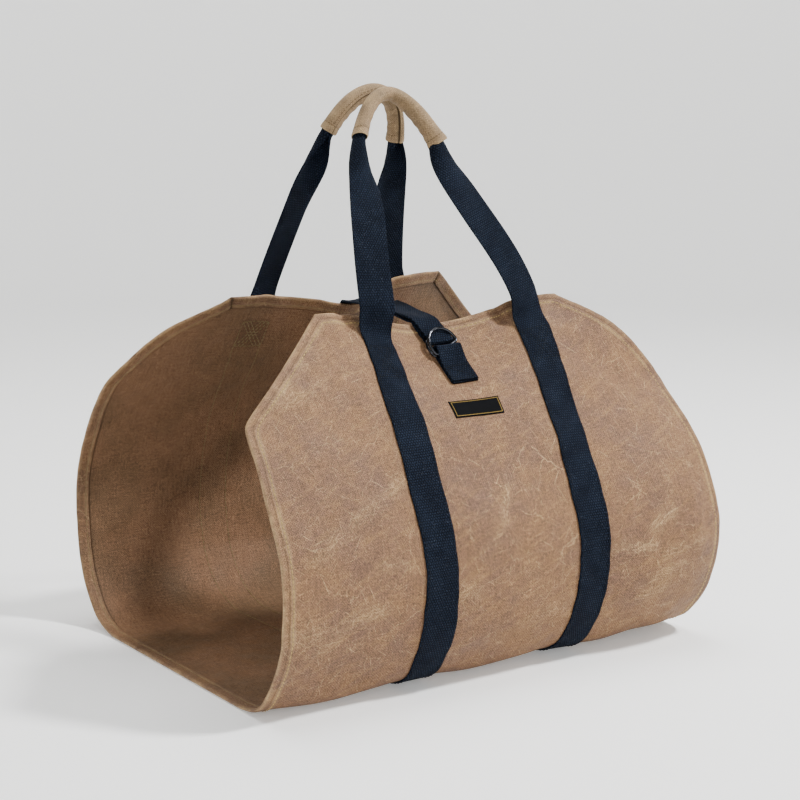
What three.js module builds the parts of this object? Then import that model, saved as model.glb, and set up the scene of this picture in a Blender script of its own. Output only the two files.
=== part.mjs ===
// Log carrier: one waxed-canvas sheet folded in a U, open at both ends and along the top. Two webbing straps
// pass under it and meet in two canvas grips, and a narrower strap with two D-rings closes the top.
// Millimetres, +Z up, the front panel faces -Y, and the origin lies under the middle of the base.
import * as THREE from 'three';

// Canvas sheet
const SHEET_LENGTH = 455; // along X, from open end to open end
const CANVAS = 2; // wall of the cloth
const CORNER_CUT = 103; // what the cut takes off each corner along X
const HEM_WIDTH = 12;
const HEM_FOLD = 2; // cloth that the hem adds on the inside
const HEM_STEP = 0.6; // run of the small step at the hem's inner edge
const CLOTH_COLUMNS = 18; // mesh columns between the two side hems

// Half of the cross-section, from the middle of the base to the top edge of a panel.
// steps is the number of mesh rows up to that place.
const SECTION = [
  { at: 'base middle', y: 0, z: 0, steps: 0 },
  { at: 'base flat', y: 90, z: 0, steps: 1 },
  { at: 'base edge', y: 118, z: 0, steps: 1 },
  { at: 'base corner', y: 156, z: 13, steps: 3 },
  { at: 'lower side', y: 180, z: 46, steps: 3 },
  { at: 'bulge', y: 189, z: 98, steps: 2 },
  { at: 'upper side', y: 183, z: 141, steps: 2 },
  { at: 'shoulder', y: 160, z: 193, steps: 2 },
  { at: 'corner cut', y: 131, z: 233, steps: 2 },
  { at: 'strap seam end', y: 98, z: 285.5, steps: 4 },
  { at: 'top edge', y: 83, z: 309, steps: 0 },
];
const CUT_ROW = SECTION.findIndex(({ at }) => at === 'corner cut');
const SEAM_ROW = SECTION.findIndex(({ at }) => at === 'strap seam end');

// Where the panels leave that section. side is -1 at the front and 1 at the back. A fold lies round x and
// below the top edge, width and reach are its half-sizes, and its cloth is pulled inwards and dropped.
const FOLDS = [
  { at: 'front edge', side: -1, x: 0, below: 0, width: 420, reach: 110, pull: 5, drop: 0 },
  { at: 'front closure', side: -1, x: -4, below: 0, width: 110, reach: 110, pull: 11, drop: 18 },
  { at: 'back closure', side: 1, x: 5, below: 0, width: 66, reach: 100, pull: 15, drop: 14 },
  { at: 'front left strap', side: -1, x: -80, below: 0, width: 36, reach: 34, pull: 6, drop: 0 },
  { at: 'front right strap', side: -1, x: 96, below: 0, width: 48, reach: 36, pull: 9, drop: 0 },
  { at: 'back left strap', side: 1, x: -86, below: 0, width: 34, reach: 34, pull: 5, drop: 0 },
  { at: 'back right strap', side: 1, x: 76, below: 0, width: 44, reach: 36, pull: 8, drop: 0 },
  { at: 'front right corner', side: -1, x: 240, below: 90, width: 130, reach: 85, pull: 17, drop: 0 },
  { at: 'front right bulge', side: -1, x: 240, below: 235, width: 150, reach: 90, pull: -2.4, drop: 0 },
  { at: 'back right corner', side: 1, x: 190, below: 60, width: 90, reach: 60, pull: -9, drop: 0 },
  { at: 'back left corner', side: 1, x: -240, below: 90, width: 130, reach: 85, pull: 8, drop: 0 },
];

// The top opens wider and rises towards the right end. out and lift are reached at half the sheet's length.
const FLARES = [
  { at: 'front', side: -1, out: 14, lift: 3 },
  { at: 'back', side: 1, out: 25, lift: 8 },
];
const FLARE_REACH = 110;

// Webbing
const WEBBING = 1.8; // thickness of every strap
const SEAM_GAP = 0.5; // between a strap and the cloth that it is sewn to
const STRAP_WIDTH = 32;
const STRAP_COLUMNS = 6;
const STRAPS = [
  { name: 'left_strap', end: -1, frontX: -75, backX: -88 },
  { name: 'right_strap', end: 1, frontX: 88, backX: 72 },
];
const LEG_ROWS = 9;
const LEG_EASE = 10; // how far a leg keeps the slope of its grip
const CURL_LENGTH = 80; // stretch below a grip over which the strap rolls up
const ROLL_RADIUS = 5.2; // middle of the webbing's wall inside a grip
const FLAT_SWEEP = 0.001; // angle across a strap that counts as flat

// Grips: each is a parabola from the left mouth over the crown to the right mouth.
// bow is how far the legs below it are drawn outwards from straight lines.
const GRIPS = [
  { name: 'front_grip', side: -1, bow: 26, halfSpan: 40, endY: -12, endZ: 455, crownY: 4, crownZ: 490 },
  { name: 'back_grip', side: 1, bow: 14, halfSpan: 38, endY: 46, endZ: 456, crownY: 33, crownZ: 492 },
];
const GRIP_RADIUS = 7.9;
const GRIP_WALL = 1.2;
const GRIP_ROWS = 16;
const GRIP_COLUMNS = 12;
const GRIP_SLIT = 0.22; // half-angle of the open seam on the underside
const GRIP_MEETING = 0.006; // share of the grip left between the ends of the two straps

// Closure
const CLOSURE_WIDTH = 25;
const CLOSURE_GAP = 0.7;
const CLOSURE_X = { back: 5, front: -8, tabEnd: 1 };
const CLOSURE_RISE = 3; // crown of the closure strap over the mouth
const TAIL_RISE = 7; // crown of the tail that lies on it
const ROUTE_STEPS = 2; // mesh rows from one place of a route to the next
const RING_WIRE = 3.2;
const RING_GAP = 1;
const RING_RADIUS = 15; // middle of the wire, in the round of the D
const RING_SIDE = 4.4; // straight side of the D
const RING_CORNER = 1;
const RING_BAR = 31; // distance of the straight bars below the top edge
const RING_BEVEL = 0.94; // bevel that makes the wire eight-sided
const RING_TILT = 1.8; // how much further out the round of the upper ring stands
const TAB_END = 69; // distance of the tab's sewn end below the top edge
const TURN_RISE = 9.7; // how far above the bars the closure strap turns back

// Label
const LABEL = { width: 52, height: 18.5, thickness: 0.8, x: -1, below: 98, columns: 4, rows: 2 };

const BASE_LIFT = WEBBING + SEAM_GAP + CANVAS / 2; // the straps lie under the base
const PROBE = 0.5; // step of the slopes worked out below

const section = new THREE.CatmullRomCurve3(SECTION.map(({ y, z }) => new THREE.Vector3(0, y, z)));
const SECTION_DIVISIONS = 200;
section.arcLengthDivisions = SECTION_DIVISIONS * (SECTION.length - 1);
const rowGirths = SECTION.map((row, i) => section.getLengths()[i * SECTION_DIVISIONS]);
const HALF_GIRTH = section.getLength();
const CORNER_RISE = HALF_GIRTH - rowGirths[CUT_ROW];
const SEAM_END = rowGirths[SEAM_ROW];

// Middle of the cloth at x along the carrier and at girth s from the middle of the base.
// The girth is negative at the front.
function clothPoint(x, s) {
  const side = s < 0 ? -1 : 1;
  const below = HALF_GIRTH - Math.abs(s);
  const { y, z } = section.getPointAt(Math.abs(s) / HALF_GIRTH);
  const flare = FLARES.find((each) => each.side === side);
  const open = (x / (SHEET_LENGTH / 2)) * Math.max(0, 1 - below / FLARE_REACH) ** 2;
  const height = Math.max(0, z) + flare.lift * open;
  const point = new THREE.Vector3(x, side * (y + flare.out * open), BASE_LIFT + height);
  for (const fold of FOLDS.filter((each) => each.side === side)) {
    const across = Math.max(0, 1 - ((x - fold.x) / fold.width) ** 2);
    const down = Math.max(0, 1 - ((below - fold.below) / fold.reach) ** 2);
    const share = (across * down) ** 2;
    point.y -= side * fold.pull * share;
    point.z -= fold.drop * share;
  }
  return point;
}

// Direction of the cloth towards the back, round the girth.
function clothSlope(x, s) {
  const ahead = clothPoint(x, Math.min(s + PROBE, HALF_GIRTH));
  return ahead.sub(clothPoint(x, Math.max(s - PROBE, -HALF_GIRTH))).normalize();
}

function clothNormal(x, s) {
  const along = clothPoint(x + PROBE, s).sub(clothPoint(x - PROBE, s));
  return clothSlope(x, s).cross(along).normalize();
}

function overCloth(x, s, height) {
  return clothPoint(x, s).addScaledVector(clothNormal(x, s), height);
}

// A place beside a panel: below its top edge, or over the edge where below is negative, and at a height
// over the middle of the cloth.
function besidePanel(side, x, below, height) {
  const s = side * (HALF_GIRTH - Math.max(0, below));
  return overCloth(x, s, height).addScaledVector(clothSlope(x, s), side * Math.max(0, -below));
}

// Closed wall between two grids of points. Rows run along the piece and columns across it, and
// the outer side is the one that rows-cross-columns points to.
function wall(outer, inner) {
  const rows = outer.length;
  const columns = outer[0].length;
  const points = [...outer.flat(), ...inner.flat()];
  const out = (r, c) => r * columns + c;
  const back = (r, c) => (rows + r) * columns + c;
  const index = [];
  const quad = (a, b, c, d) => index.push(a, b, c, a, c, d);
  for (let r = 0; r < rows - 1; r += 1) {
    for (let c = 0; c < columns - 1; c += 1) {
      quad(out(r, c), out(r + 1, c), out(r + 1, c + 1), out(r, c + 1));
      quad(back(r, c), back(r, c + 1), back(r + 1, c + 1), back(r + 1, c));
    }
    quad(out(r + 1, 0), out(r, 0), back(r, 0), back(r + 1, 0));
    quad(out(r, columns - 1), out(r + 1, columns - 1), back(r + 1, columns - 1), back(r, columns - 1));
  }
  for (let c = 0; c < columns - 1; c += 1) {
    quad(out(0, c), out(0, c + 1), back(0, c + 1), back(0, c));
    quad(out(rows - 1, c + 1), out(rows - 1, c), back(rows - 1, c), back(rows - 1, c + 1));
  }
  const geometry = new THREE.BufferGeometry().setFromPoints(points);
  geometry.setIndex(index);
  geometry.computeVertexNormals();
  return geometry;
}

// Girths of the mesh rows, from the front top edge under the base to the back top edge.
function clothRows() {
  const half = [0];
  for (let i = 1; i < SECTION.length; i += 1) {
    for (let step = 1; step <= SECTION[i].steps; step += 1) {
      half.push(THREE.MathUtils.lerp(rowGirths[i - 1], rowGirths[i], step / SECTION[i].steps));
    }
  }
  half.push(HALF_GIRTH - HEM_WIDTH - HEM_STEP, HALF_GIRTH - HEM_WIDTH, HALF_GIRTH);
  const front = half.slice(1).reverse();
  return [...front.map((s) => -s), ...half];
}

// Places of the mesh columns along X, and whether they lie on a side hem, at a distance below the top edge.
function clothColumns(below) {
  const slant = Math.hypot(1, CORNER_CUT / CORNER_RISE);
  const cutLine = SHEET_LENGTH / 2 - CORNER_CUT * (1 - below / CORNER_RISE);
  const inset = (width) => Math.min(SHEET_LENGTH / 2 - width, cutLine - width * slant);
  const hemFoot = inset(HEM_WIDTH + HEM_STEP);
  const rightHem = [inset(HEM_WIDTH), inset(0)].map((x) => ({ x, hem: true }));
  const leftHem = rightHem.map(({ x }) => ({ x: -x, hem: true })).reverse();
  const middle = Array.from({ length: CLOTH_COLUMNS + 1 }, (_, c) => ({
    x: hemFoot * ((2 * c) / CLOTH_COLUMNS - 1),
    hem: false,
  }));
  return [...leftHem, ...middle, ...rightHem];
}

function bodyCanvas() {
  const outer = [];
  const inner = [];
  for (const s of clothRows()) {
    const below = HALF_GIRTH - Math.abs(s);
    const topHem = below < HEM_WIDTH + HEM_STEP / 2;
    const columns = clothColumns(below);
    outer.push(columns.map(({ x }) => overCloth(x, s, CANVAS / 2)));
    inner.push(columns.map(({ x, hem }) => overCloth(x, s, -CANVAS / 2 - (hem || topHem ? HEM_FOLD : 0))));
  }
  return wall(outer, inner);
}

function gripAxis({ halfSpan, endY, endZ, crownY, crownZ }) {
  return new THREE.QuadraticBezierCurve3(
    new THREE.Vector3(-halfSpan, endY, endZ),
    new THREE.Vector3(0, 2 * crownY - endY, 2 * crownZ - endZ),
    new THREE.Vector3(halfSpan, endY, endZ),
  );
}

// Canvas sleeve: a tube along the grip, open along its underside where the cloth's edges meet.
function gripSleeve(grip) {
  const axis = gripAxis(grip);
  const outer = [];
  const inner = [];
  for (let r = 0; r <= GRIP_ROWS; r += 1) {
    const middle = axis.getPoint(r / GRIP_ROWS);
    const along = axis.getTangent(r / GRIP_ROWS);
    const top = along.clone().cross(new THREE.Vector3(0, 1, 0)).normalize();
    const rays = Array.from({ length: GRIP_COLUMNS + 1 }, (_, c) => {
      const angle = (Math.PI - GRIP_SLIT) * ((2 * c) / GRIP_COLUMNS - 1);
      return top.clone().applyAxisAngle(along, -angle);
    });
    outer.push(rays.map((ray) => middle.clone().addScaledVector(ray, GRIP_RADIUS)));
    inner.push(rays.map((ray) => middle.clone().addScaledVector(ray, GRIP_RADIUS - GRIP_WALL)));
  }
  return wall(outer, inner);
}

// One row of a strap's leg: flat webbing where curl is 0, rolled round the middle of the grip where it is 1.
function legRow({ middle, along, side, curl }) {
  const across = new THREE.Vector3(0, side, 0).cross(along).normalize();
  const face = along.clone().cross(across);
  const sweep = Math.max(FLAT_SWEEP, curl * (STRAP_WIDTH / ROLL_RADIUS));
  const radius = STRAP_WIDTH / sweep;
  const centre = middle.clone().addScaledVector(face, -radius * (1 - curl));
  const rays = Array.from({ length: STRAP_COLUMNS + 1 }, (_, c) => {
    const angle = sweep * (c / STRAP_COLUMNS - 0.5);
    return face.clone().multiplyScalar(Math.cos(angle)).addScaledVector(across, Math.sin(angle));
  });
  return {
    outer: rays.map((ray) => centre.clone().addScaledVector(ray, radius + WEBBING / 2)),
    inner: rays.map((ray) => centre.clone().addScaledVector(ray, radius - WEBBING / 2)),
  };
}

// Rows of a strap from the end of its seam up to the middle of a grip.
function strapLeg(grip, end, x) {
  const { side } = grip;
  const axis = gripAxis(grip);
  const gripShare = (t) => (end < 0 ? t : 1 - t); // t runs from this strap's mouth of the grip
  const mouth = axis.getPoint(gripShare(0));
  const intoGrip = axis.getTangent(gripShare(0)).multiplyScalar(-end);
  const seamHeight = CANVAS / 2 + SEAM_GAP + WEBBING / 2;
  const foot = overCloth(x, side * SEAM_END, seamHeight);
  const lowerThird = foot.clone().lerp(mouth, 1 / 3);
  lowerThird.y += side * grip.bow;
  const leg = new THREE.CubicBezierCurve3(
    foot,
    lowerThird,
    mouth.clone().addScaledVector(intoGrip, -LEG_EASE),
    mouth,
  );
  const rows = [];
  for (let r = 1; r <= LEG_ROWS; r += 1) {
    const toMouth = leg.getLength() * (1 - r / LEG_ROWS);
    const curl = Math.max(0, 1 - toMouth / CURL_LENGTH) ** 2;
    const along = leg.getTangentAt(r / LEG_ROWS).multiplyScalar(side);
    rows.push(legRow({ middle: leg.getPointAt(r / LEG_ROWS), along, side, curl }));
  }
  for (let r = 1; r <= GRIP_ROWS / 2; r += 1) {
    const t = gripShare(Math.min(r / GRIP_ROWS, 0.5 - GRIP_MEETING / 2));
    const along = axis.getTangent(t).multiplyScalar(-end * side);
    rows.push(legRow({ middle: axis.getPoint(t), along, side, curl: 1 }));
  }
  return rows;
}

// One strap, from the middle of the front grip, down, under the base and up to the middle of the back grip.
function handleStrap({ end, frontX, backX }) {
  const strapX = (s) => THREE.MathUtils.mapLinear(s, -SEAM_END, SEAM_END, frontX, backX);
  const sewn = clothRows().filter((s) => Math.abs(s) < SEAM_END + PROBE);
  const shares = Array.from({ length: STRAP_COLUMNS + 1 }, (_, c) => c / STRAP_COLUMNS - 0.5);
  const offsets = shares.map((share) => STRAP_WIDTH * share);
  const seamFace = CANVAS / 2 + SEAM_GAP;
  const sewnRows = sewn.map((s) => ({
    outer: offsets.map((offset) => overCloth(strapX(s) + offset, s, seamFace + WEBBING)),
    inner: offsets.map((offset) => overCloth(strapX(s) + offset, s, seamFace)),
  }));
  const [frontGrip, backGrip] = GRIPS;
  const frontLeg = strapLeg(frontGrip, end, frontX).reverse();
  const rows = [...frontLeg, ...sewnRows, ...strapLeg(backGrip, end, backX)];
  return wall(rows.map(({ outer }) => outer), rows.map(({ inner }) => inner));
}

// Webbing of the closure's width. placesAt gives the places of its route at an offset from its middle line,
// so that it bends across its width as the cloth under it does.
function closureWebbing(placesAt) {
  const offsets = [-CLOSURE_WIDTH / 2, 0, CLOSURE_WIDTH / 2];
  const routes = offsets.map((offset) => new THREE.CatmullRomCurve3(placesAt(offset)));
  const count = (routes[0].points.length - 1) * ROUTE_STEPS;
  const outer = [];
  const inner = [];
  for (let r = 0; r <= count; r += 1) {
    const points = routes.map((route) => route.getPoint(r / count));
    const faces = routes.map((route, c) => {
      const across = points[Math.min(c + 1, 2)].clone().sub(points[Math.max(c - 1, 0)]);
      return route.getTangent(r / count).cross(across).normalize();
    });
    outer.push(points.map((point, c) => point.clone().addScaledVector(faces[c], WEBBING / 2)));
    inner.push(points.map((point, c) => point.clone().addScaledVector(faces[c], -WEBBING / 2)));
  }
  return wall(outer, inner);
}

// Heights over the middle of the cloth of what is stacked on the front panel at the rings.
const STRAP_HEIGHT = CANVAS / 2 + CLOSURE_GAP + WEBBING / 2;
const RING_PITCH = WEBBING / 2 + RING_GAP + RING_WIRE / 2; // from the middle of a strap to a ring on it
const LOWER_RING_HEIGHT = STRAP_HEIGHT + RING_PITCH;
const TAIL_HEIGHT = LOWER_RING_HEIGHT + RING_PITCH;
const UPPER_BAR_HEIGHT = LOWER_RING_HEIGHT + RING_WIRE + RING_GAP;
const UPPER_RING_HEIGHT = TAIL_HEIGHT + RING_PITCH + RING_TILT;
const TAB_TOP_HEIGHT = UPPER_BAR_HEIGHT + RING_PITCH;

// X of the closure on the front panel: the tab is sewn on slightly askew.
function frontClosureX(below) {
  return THREE.MathUtils.mapLinear(below, 0, TAB_END, CLOSURE_X.front, CLOSURE_X.tabEnd);
}

function frontPlaces(rows, offset) {
  return rows.map(({ below, height }) => besidePanel(-1, frontClosureX(below) + offset, below, height));
}

function backPlaces(rows, offset) {
  return rows.map(({ below, height }) => besidePanel(1, CLOSURE_X.back + offset, below, height));
}

// Closure strap: sewn to the back panel, over the mouth and the front edge, under the lower ring, folded
// back between the two rings, and its tail lying on itself.
function closureRoute(offset) {
  const overEdge = { below: -4.5, height: -2 };
  const [backEdge] = backPlaces([overEdge], offset);
  const [frontEdge] = frontPlaces([overEdge], offset);
  const span = (share, rise) => {
    const place = backEdge.clone().lerp(frontEdge, share);
    place.z += rise * 4 * share * (1 - share);
    return place;
  };
  const turnRadius = (TAIL_HEIGHT - STRAP_HEIGHT) / 2;
  const turnRows = [-0.5, -0.25, 0, 0.25, 0.5].map((turn) => ({
    below: RING_BAR - TURN_RISE + turnRadius * Math.cos(turn * Math.PI),
    height: LOWER_RING_HEIGHT + turnRadius * Math.sin(turn * Math.PI),
  }));
  const backRows = [
    { below: 50, height: STRAP_HEIGHT },
    { below: 28, height: STRAP_HEIGHT },
    { below: 7, height: STRAP_HEIGHT },
    { below: -1.5, height: 2.2 },
    overEdge,
  ];
  const frontRows = [
    overEdge,
    { below: -1.5, height: 2.2 },
    { below: 6, height: STRAP_HEIGHT },
    ...turnRows,
    { below: 10, height: TAIL_HEIGHT },
    { below: 5, height: TAIL_HEIGHT },
    { below: -1.5, height: 6.2 },
    { below: -7.5, height: 0.2 },
  ];
  return [
    ...backPlaces(backRows, offset),
    ...[0.25, 0.5, 0.75].map((share) => span(share, CLOSURE_RISE)),
    ...frontPlaces(frontRows, offset),
    ...[0.8, 0.65, 0.5].map((share) => span(share, TAIL_RISE)),
  ];
}

// Ring tab: webbing folded round the two straight bars, both ends sewn to the front panel.
function tabRoute(offset) {
  const loopBelow = RING_BAR - RING_PITCH;
  const doubled = STRAP_HEIGHT + WEBBING + RING_GAP;
  const rows = [
    { below: TAB_END, height: STRAP_HEIGHT },
    { below: TAB_END - 17, height: STRAP_HEIGHT },
    { below: RING_BAR + 6, height: STRAP_HEIGHT },
    { below: RING_BAR, height: STRAP_HEIGHT },
    { below: loopBelow + 0.8, height: STRAP_HEIGHT + 1 },
    { below: loopBelow, height: LOWER_RING_HEIGHT },
    { below: loopBelow, height: UPPER_BAR_HEIGHT },
    { below: loopBelow + 0.8, height: TAB_TOP_HEIGHT - 1 },
    { below: RING_BAR, height: TAB_TOP_HEIGHT },
    { below: RING_BAR + 4, height: TAB_TOP_HEIGHT - 1.4 },
    { below: RING_BAR + 16, height: doubled + 0.6 },
    { below: TAB_END - 12, height: doubled },
    { below: TAB_END - 1, height: doubled },
  ];
  return frontPlaces(rows, offset);
}

// Outline of a D offset from the middle of its wire, its straight bar on the X axis.
function ringOutline(path, offset) {
  const half = RING_RADIUS + offset;
  const bar = half - RING_CORNER;
  path.absarc(0, RING_SIDE, half, 0, Math.PI, false);
  path.lineTo(-half, RING_CORNER - offset);
  path.lineTo(-bar, -offset);
  path.lineTo(bar, -offset);
  path.lineTo(half, RING_CORNER - offset);
  return path;
}

function ringGeometry() {
  const halfFace = RING_WIRE / 2 - RING_BEVEL;
  const shape = ringOutline(new THREE.Shape(), halfFace);
  shape.holes.push(ringOutline(new THREE.Path(), -halfFace));
  const geometry = new THREE.ExtrudeGeometry(shape, {
    depth: 2 * halfFace,
    curveSegments: 9,
    bevelSegments: 1,
    bevelSize: RING_BEVEL,
    bevelThickness: RING_BEVEL,
  });
  return geometry.translate(0, 0, -halfFace);
}

// Seats a ring on the front panel, its bar and the top of its round at the given heights.
function seatRing(ring, barHeight, roundHeight) {
  const x = frontClosureX(RING_BAR);
  const barGirth = RING_BAR - HALF_GIRTH;
  const roundGirth = barGirth - RING_SIDE - RING_RADIUS;
  const bar = overCloth(x, barGirth, barHeight);
  const up = overCloth(x, roundGirth, roundHeight).sub(bar).normalize();
  const across = up.clone().cross(clothNormal(x, barGirth)).normalize();
  ring.position.copy(bar);
  ring.quaternion.setFromRotationMatrix(new THREE.Matrix4().makeBasis(across, up, across.clone().cross(up)));
}

function labelPatch() {
  const face = CANVAS / 2 + SEAM_GAP;
  const grid = (height) => Array.from({ length: LABEL.rows + 1 }, (_, r) => {
    const below = LABEL.below + LABEL.height * (r / LABEL.rows - 0.5);
    return Array.from({ length: LABEL.columns + 1 }, (__, c) => {
      const x = LABEL.x + LABEL.width * (c / LABEL.columns - 0.5);
      return overCloth(x, below - HALF_GIRTH, height);
    });
  });
  return wall(grid(face + LABEL.thickness), grid(face));
}

const FINISHES = {
  canvas: { color: 0xa98b6d, roughness: 0.75, metalness: 0 },
  webbing: { color: 0x1c2230, roughness: 0.9, metalness: 0 },
  ring: { color: 0x2b2c30, roughness: 0.35, metalness: 0.9 },
  label: { color: 0x17181c, roughness: 0.85, metalness: 0 },
};

const carrier = new THREE.Group();

function addPiece(name, geometry, finish) {
  const mesh = new THREE.Mesh(geometry, new THREE.MeshStandardMaterial(finish));
  mesh.name = name;
  carrier.add(mesh);
  return mesh;
}

addPiece('body_canvas', bodyCanvas(), FINISHES.canvas);
STRAPS.forEach((strap) => addPiece(strap.name, handleStrap(strap), FINISHES.webbing));
GRIPS.forEach((grip) => addPiece(grip.name, gripSleeve(grip), FINISHES.canvas));
addPiece('closure_strap', closureWebbing(closureRoute), FINISHES.webbing);
addPiece('ring_tab', closureWebbing(tabRoute), FINISHES.webbing);
seatRing(addPiece('lower_ring', ringGeometry(), FINISHES.ring), LOWER_RING_HEIGHT, LOWER_RING_HEIGHT);
seatRing(addPiece('upper_ring', ringGeometry(), FINISHES.ring), UPPER_BAR_HEIGHT, UPPER_RING_HEIGHT);
addPiece('label_patch', labelPatch(), FINISHES.label);

export default carrier;
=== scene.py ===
# Log carrier: a waxed canvas sling on two cotton webbing straps with sleeved grips, closed by a narrower
# strap through a pair of D-rings. Lengths are millimetres until putPiece turns them into metres.
import math
import bpy
import numpy as np
from mathutils import Matrix


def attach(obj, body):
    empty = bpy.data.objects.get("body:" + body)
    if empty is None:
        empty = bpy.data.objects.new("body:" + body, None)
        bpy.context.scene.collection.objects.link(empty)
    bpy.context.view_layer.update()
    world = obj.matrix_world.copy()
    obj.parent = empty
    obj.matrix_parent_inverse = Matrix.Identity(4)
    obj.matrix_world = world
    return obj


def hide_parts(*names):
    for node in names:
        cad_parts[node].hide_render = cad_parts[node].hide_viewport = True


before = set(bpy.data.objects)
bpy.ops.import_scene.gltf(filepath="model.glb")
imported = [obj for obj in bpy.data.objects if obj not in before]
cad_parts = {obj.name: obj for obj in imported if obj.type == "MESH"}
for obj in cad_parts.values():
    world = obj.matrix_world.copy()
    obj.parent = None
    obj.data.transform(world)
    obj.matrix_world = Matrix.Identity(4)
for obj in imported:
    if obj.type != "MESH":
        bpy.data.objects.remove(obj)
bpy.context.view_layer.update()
print("frame loaded with", len(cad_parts), "solids")

mm = 0.001


# Curves

def unit(vectors):
    return vectors / np.linalg.norm(vectors, axis=-1, keepdims=True)


# rises from 0 to 1 with flat ends: 3 t squared less 2 t cubed
def ease(share):
    share = np.clip(share, 0, 1)
    return share * share * (3 - 2 * share)


# falls away on both sides: e to the minus square of the distance over the width
def bell(distance, width):
    return np.exp(-((distance / width) ** 2))


# centripetal Catmull-Rom: each stretch is a cubic whose end slopes come from the points either side,
# weighed by the square roots of the distances between them
def smoothThrough(points, steps):
    points = np.asarray(points, float)
    padded = np.concatenate([2 * points[:1] - points[1:2], points, 2 * points[-1:] - points[-2:-1]])
    gap = np.sqrt(np.linalg.norm(np.diff(padded, axis=0), axis=-1))[..., None]
    prior, start, stop, later = padded[:-3], padded[1:-2], padded[2:-1], padded[3:]
    before, here, after = gap[:-2], gap[1:-1], gap[2:]
    leave = here * ((start - prior) / before - (stop - prior) / (before + here) + (stop - start) / here)
    reach = here * ((stop - start) / here - (later - start) / (here + after) + (later - stop) / after)
    t = np.linspace(0, 1, steps, endpoint=False).reshape((-1,) + (1,) * points.ndim)
    squared = 3 * (stop - start) - 2 * leave - reach
    cubed = 2 * (start - stop) + leave + reach
    curve = start + leave * t + squared * t**2 + cubed * t**3
    curve = np.moveaxis(curve, 0, 1).reshape((-1,) + points.shape[1:])
    return np.concatenate([curve, points[-1:]])


curveSteps = 400  # points on a Bezier curve before it is cut into even steps


# sum of the controls, each weighed by its Bernstein share: binomial times t^k times (1 - t)^(n - k)
def bezier(controls, t):
    degree = len(controls) - 1
    k = np.arange(degree + 1)
    t = np.asarray(t, float)[:, None]
    binomial = np.array([math.comb(degree, i) for i in k])
    return (binomial * t**k * (1 - t) ** (degree - k)) @ np.asarray(controls, float)


def pathLength(path):
    return np.concatenate([[0], np.cumsum(np.linalg.norm(np.diff(path, axis=0), axis=-1))])


# the same path at equal steps of its length
def evenly(path, count):
    along = pathLength(path)
    steps = np.linspace(0, along[-1], count)
    return np.stack([np.interp(steps, along, path[:, i]) for i in range(path.shape[1])], -1), steps


# Meshes

# once round a flat piece: the columns of one face left to right, then of the other face back again
def roundBoth(upper, lower):
    return np.concatenate([upper, lower[:, ::-1]], 1)


# quads between neighbouring rows and columns, the columns closed round. The two ends are capped by joining
# column c to the column as far from the other end, unless the rows close round as well.
def tubeFaces(count, rows, columns, ringed):
    index = np.arange(count * rows * columns).reshape(count, rows, columns)
    here = index if ringed else index[:, :-1]
    ahead = np.roll(index, -1, axis=1) if ringed else index[:, 1:]
    corners = [here, np.roll(here, -1, axis=2), np.roll(ahead, -1, axis=2), ahead]
    sides = np.stack(corners, -1).reshape(-1, 4)
    if ringed:
        return sides
    c = np.arange(columns // 2 - 1)
    pairs = np.stack([c, c + 1, columns - 2 - c, columns - 1 - c], -1)
    first = index[:, 0][:, pairs].reshape(-1, 4)[:, ::-1]
    last = index[:, -1][:, pairs].reshape(-1, 4)
    return np.concatenate([sides, first, last])


# points is (tubes, rows, columns, xyz) in millimetres. coords are places on the cloth for the patterns, and
# marks are further numbers for the material, both one for each point. Angles over crease degrees stay sharp.
def putPiece(name, points, material, coords=None, marks=None, ringed=False, crease=50):
    faces = tubeFaces(*points.shape[:3], ringed)
    pressed = np.maximum(points.reshape(-1, 3), (-np.inf, -np.inf, 0))  # the floor presses the base flat
    places = pressed * mm
    a, b, c, d = (places[faces[:, i]] for i in range(4))
    volume = np.sum(a * (np.cross(b, c) + np.cross(c, d)))
    if volume < 0:
        faces = faces[:, ::-1]
    mesh = bpy.data.meshes.new(name)
    mesh.from_pydata(places.tolist(), [], faces.tolist())
    mesh.polygons.foreach_set("use_smooth", np.ones(len(faces), bool))
    if coords is not None:
        layer = mesh.uv_layers.new(name="cloth")
        corners = np.empty(len(mesh.loops), np.int32)
        mesh.loops.foreach_get("vertex_index", corners)
        layer.data.foreach_set("uv", (coords.reshape(-1, 2) * mm)[corners].astype(np.float32).ravel())
    for label, values in (marks or {}).items():
        mark = mesh.attributes.new(label, "FLOAT", "POINT")
        mark.data.foreach_set("value", values.astype(np.float32).ravel())
    mesh.set_sharp_from_angle(angle=math.radians(crease))
    mesh.materials.append(material)
    piece = bpy.data.objects.new(name, mesh)
    bpy.context.scene.collection.objects.link(piece)
    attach(piece, "root")
    return piece


# Materials

# sRGB hex to linear: c / 12.92 in the darks, ((c + 0.055) / 1.055) ^ 2.4 in the rest
def linear(colour):
    parts = [int(colour[i:i + 2], 16) / 255 for i in (1, 3, 5)]
    return [c / 12.92 if c <= 0.04045 else ((c + 0.055) / 1.055) ** 2.4 for c in parts] + [1.0]


# adds a node, sets its properties, and fills its sockets with values or links. Map Range's sockets 1 to 4
# are the lowest and highest input, then what they become.
def addNode(tree, kind, sockets=None, **settings):
    made = tree.nodes.new("ShaderNode" + kind)
    for setting, value in settings.items():
        setattr(made, setting, value)
    for socket, value in (sockets or {}).items():
        if isinstance(value, bpy.types.Node):
            value = value.outputs[0]
        if isinstance(value, bpy.types.NodeSocket):
            tree.links.new(value, made.inputs[socket])
        else:
            made.inputs[socket].default_value = value
    return made


def newMaterial(name):
    material = bpy.data.materials.new(name)
    material.use_nodes = True
    material.node_tree.nodes.clear()
    return material, material.node_tree


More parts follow.
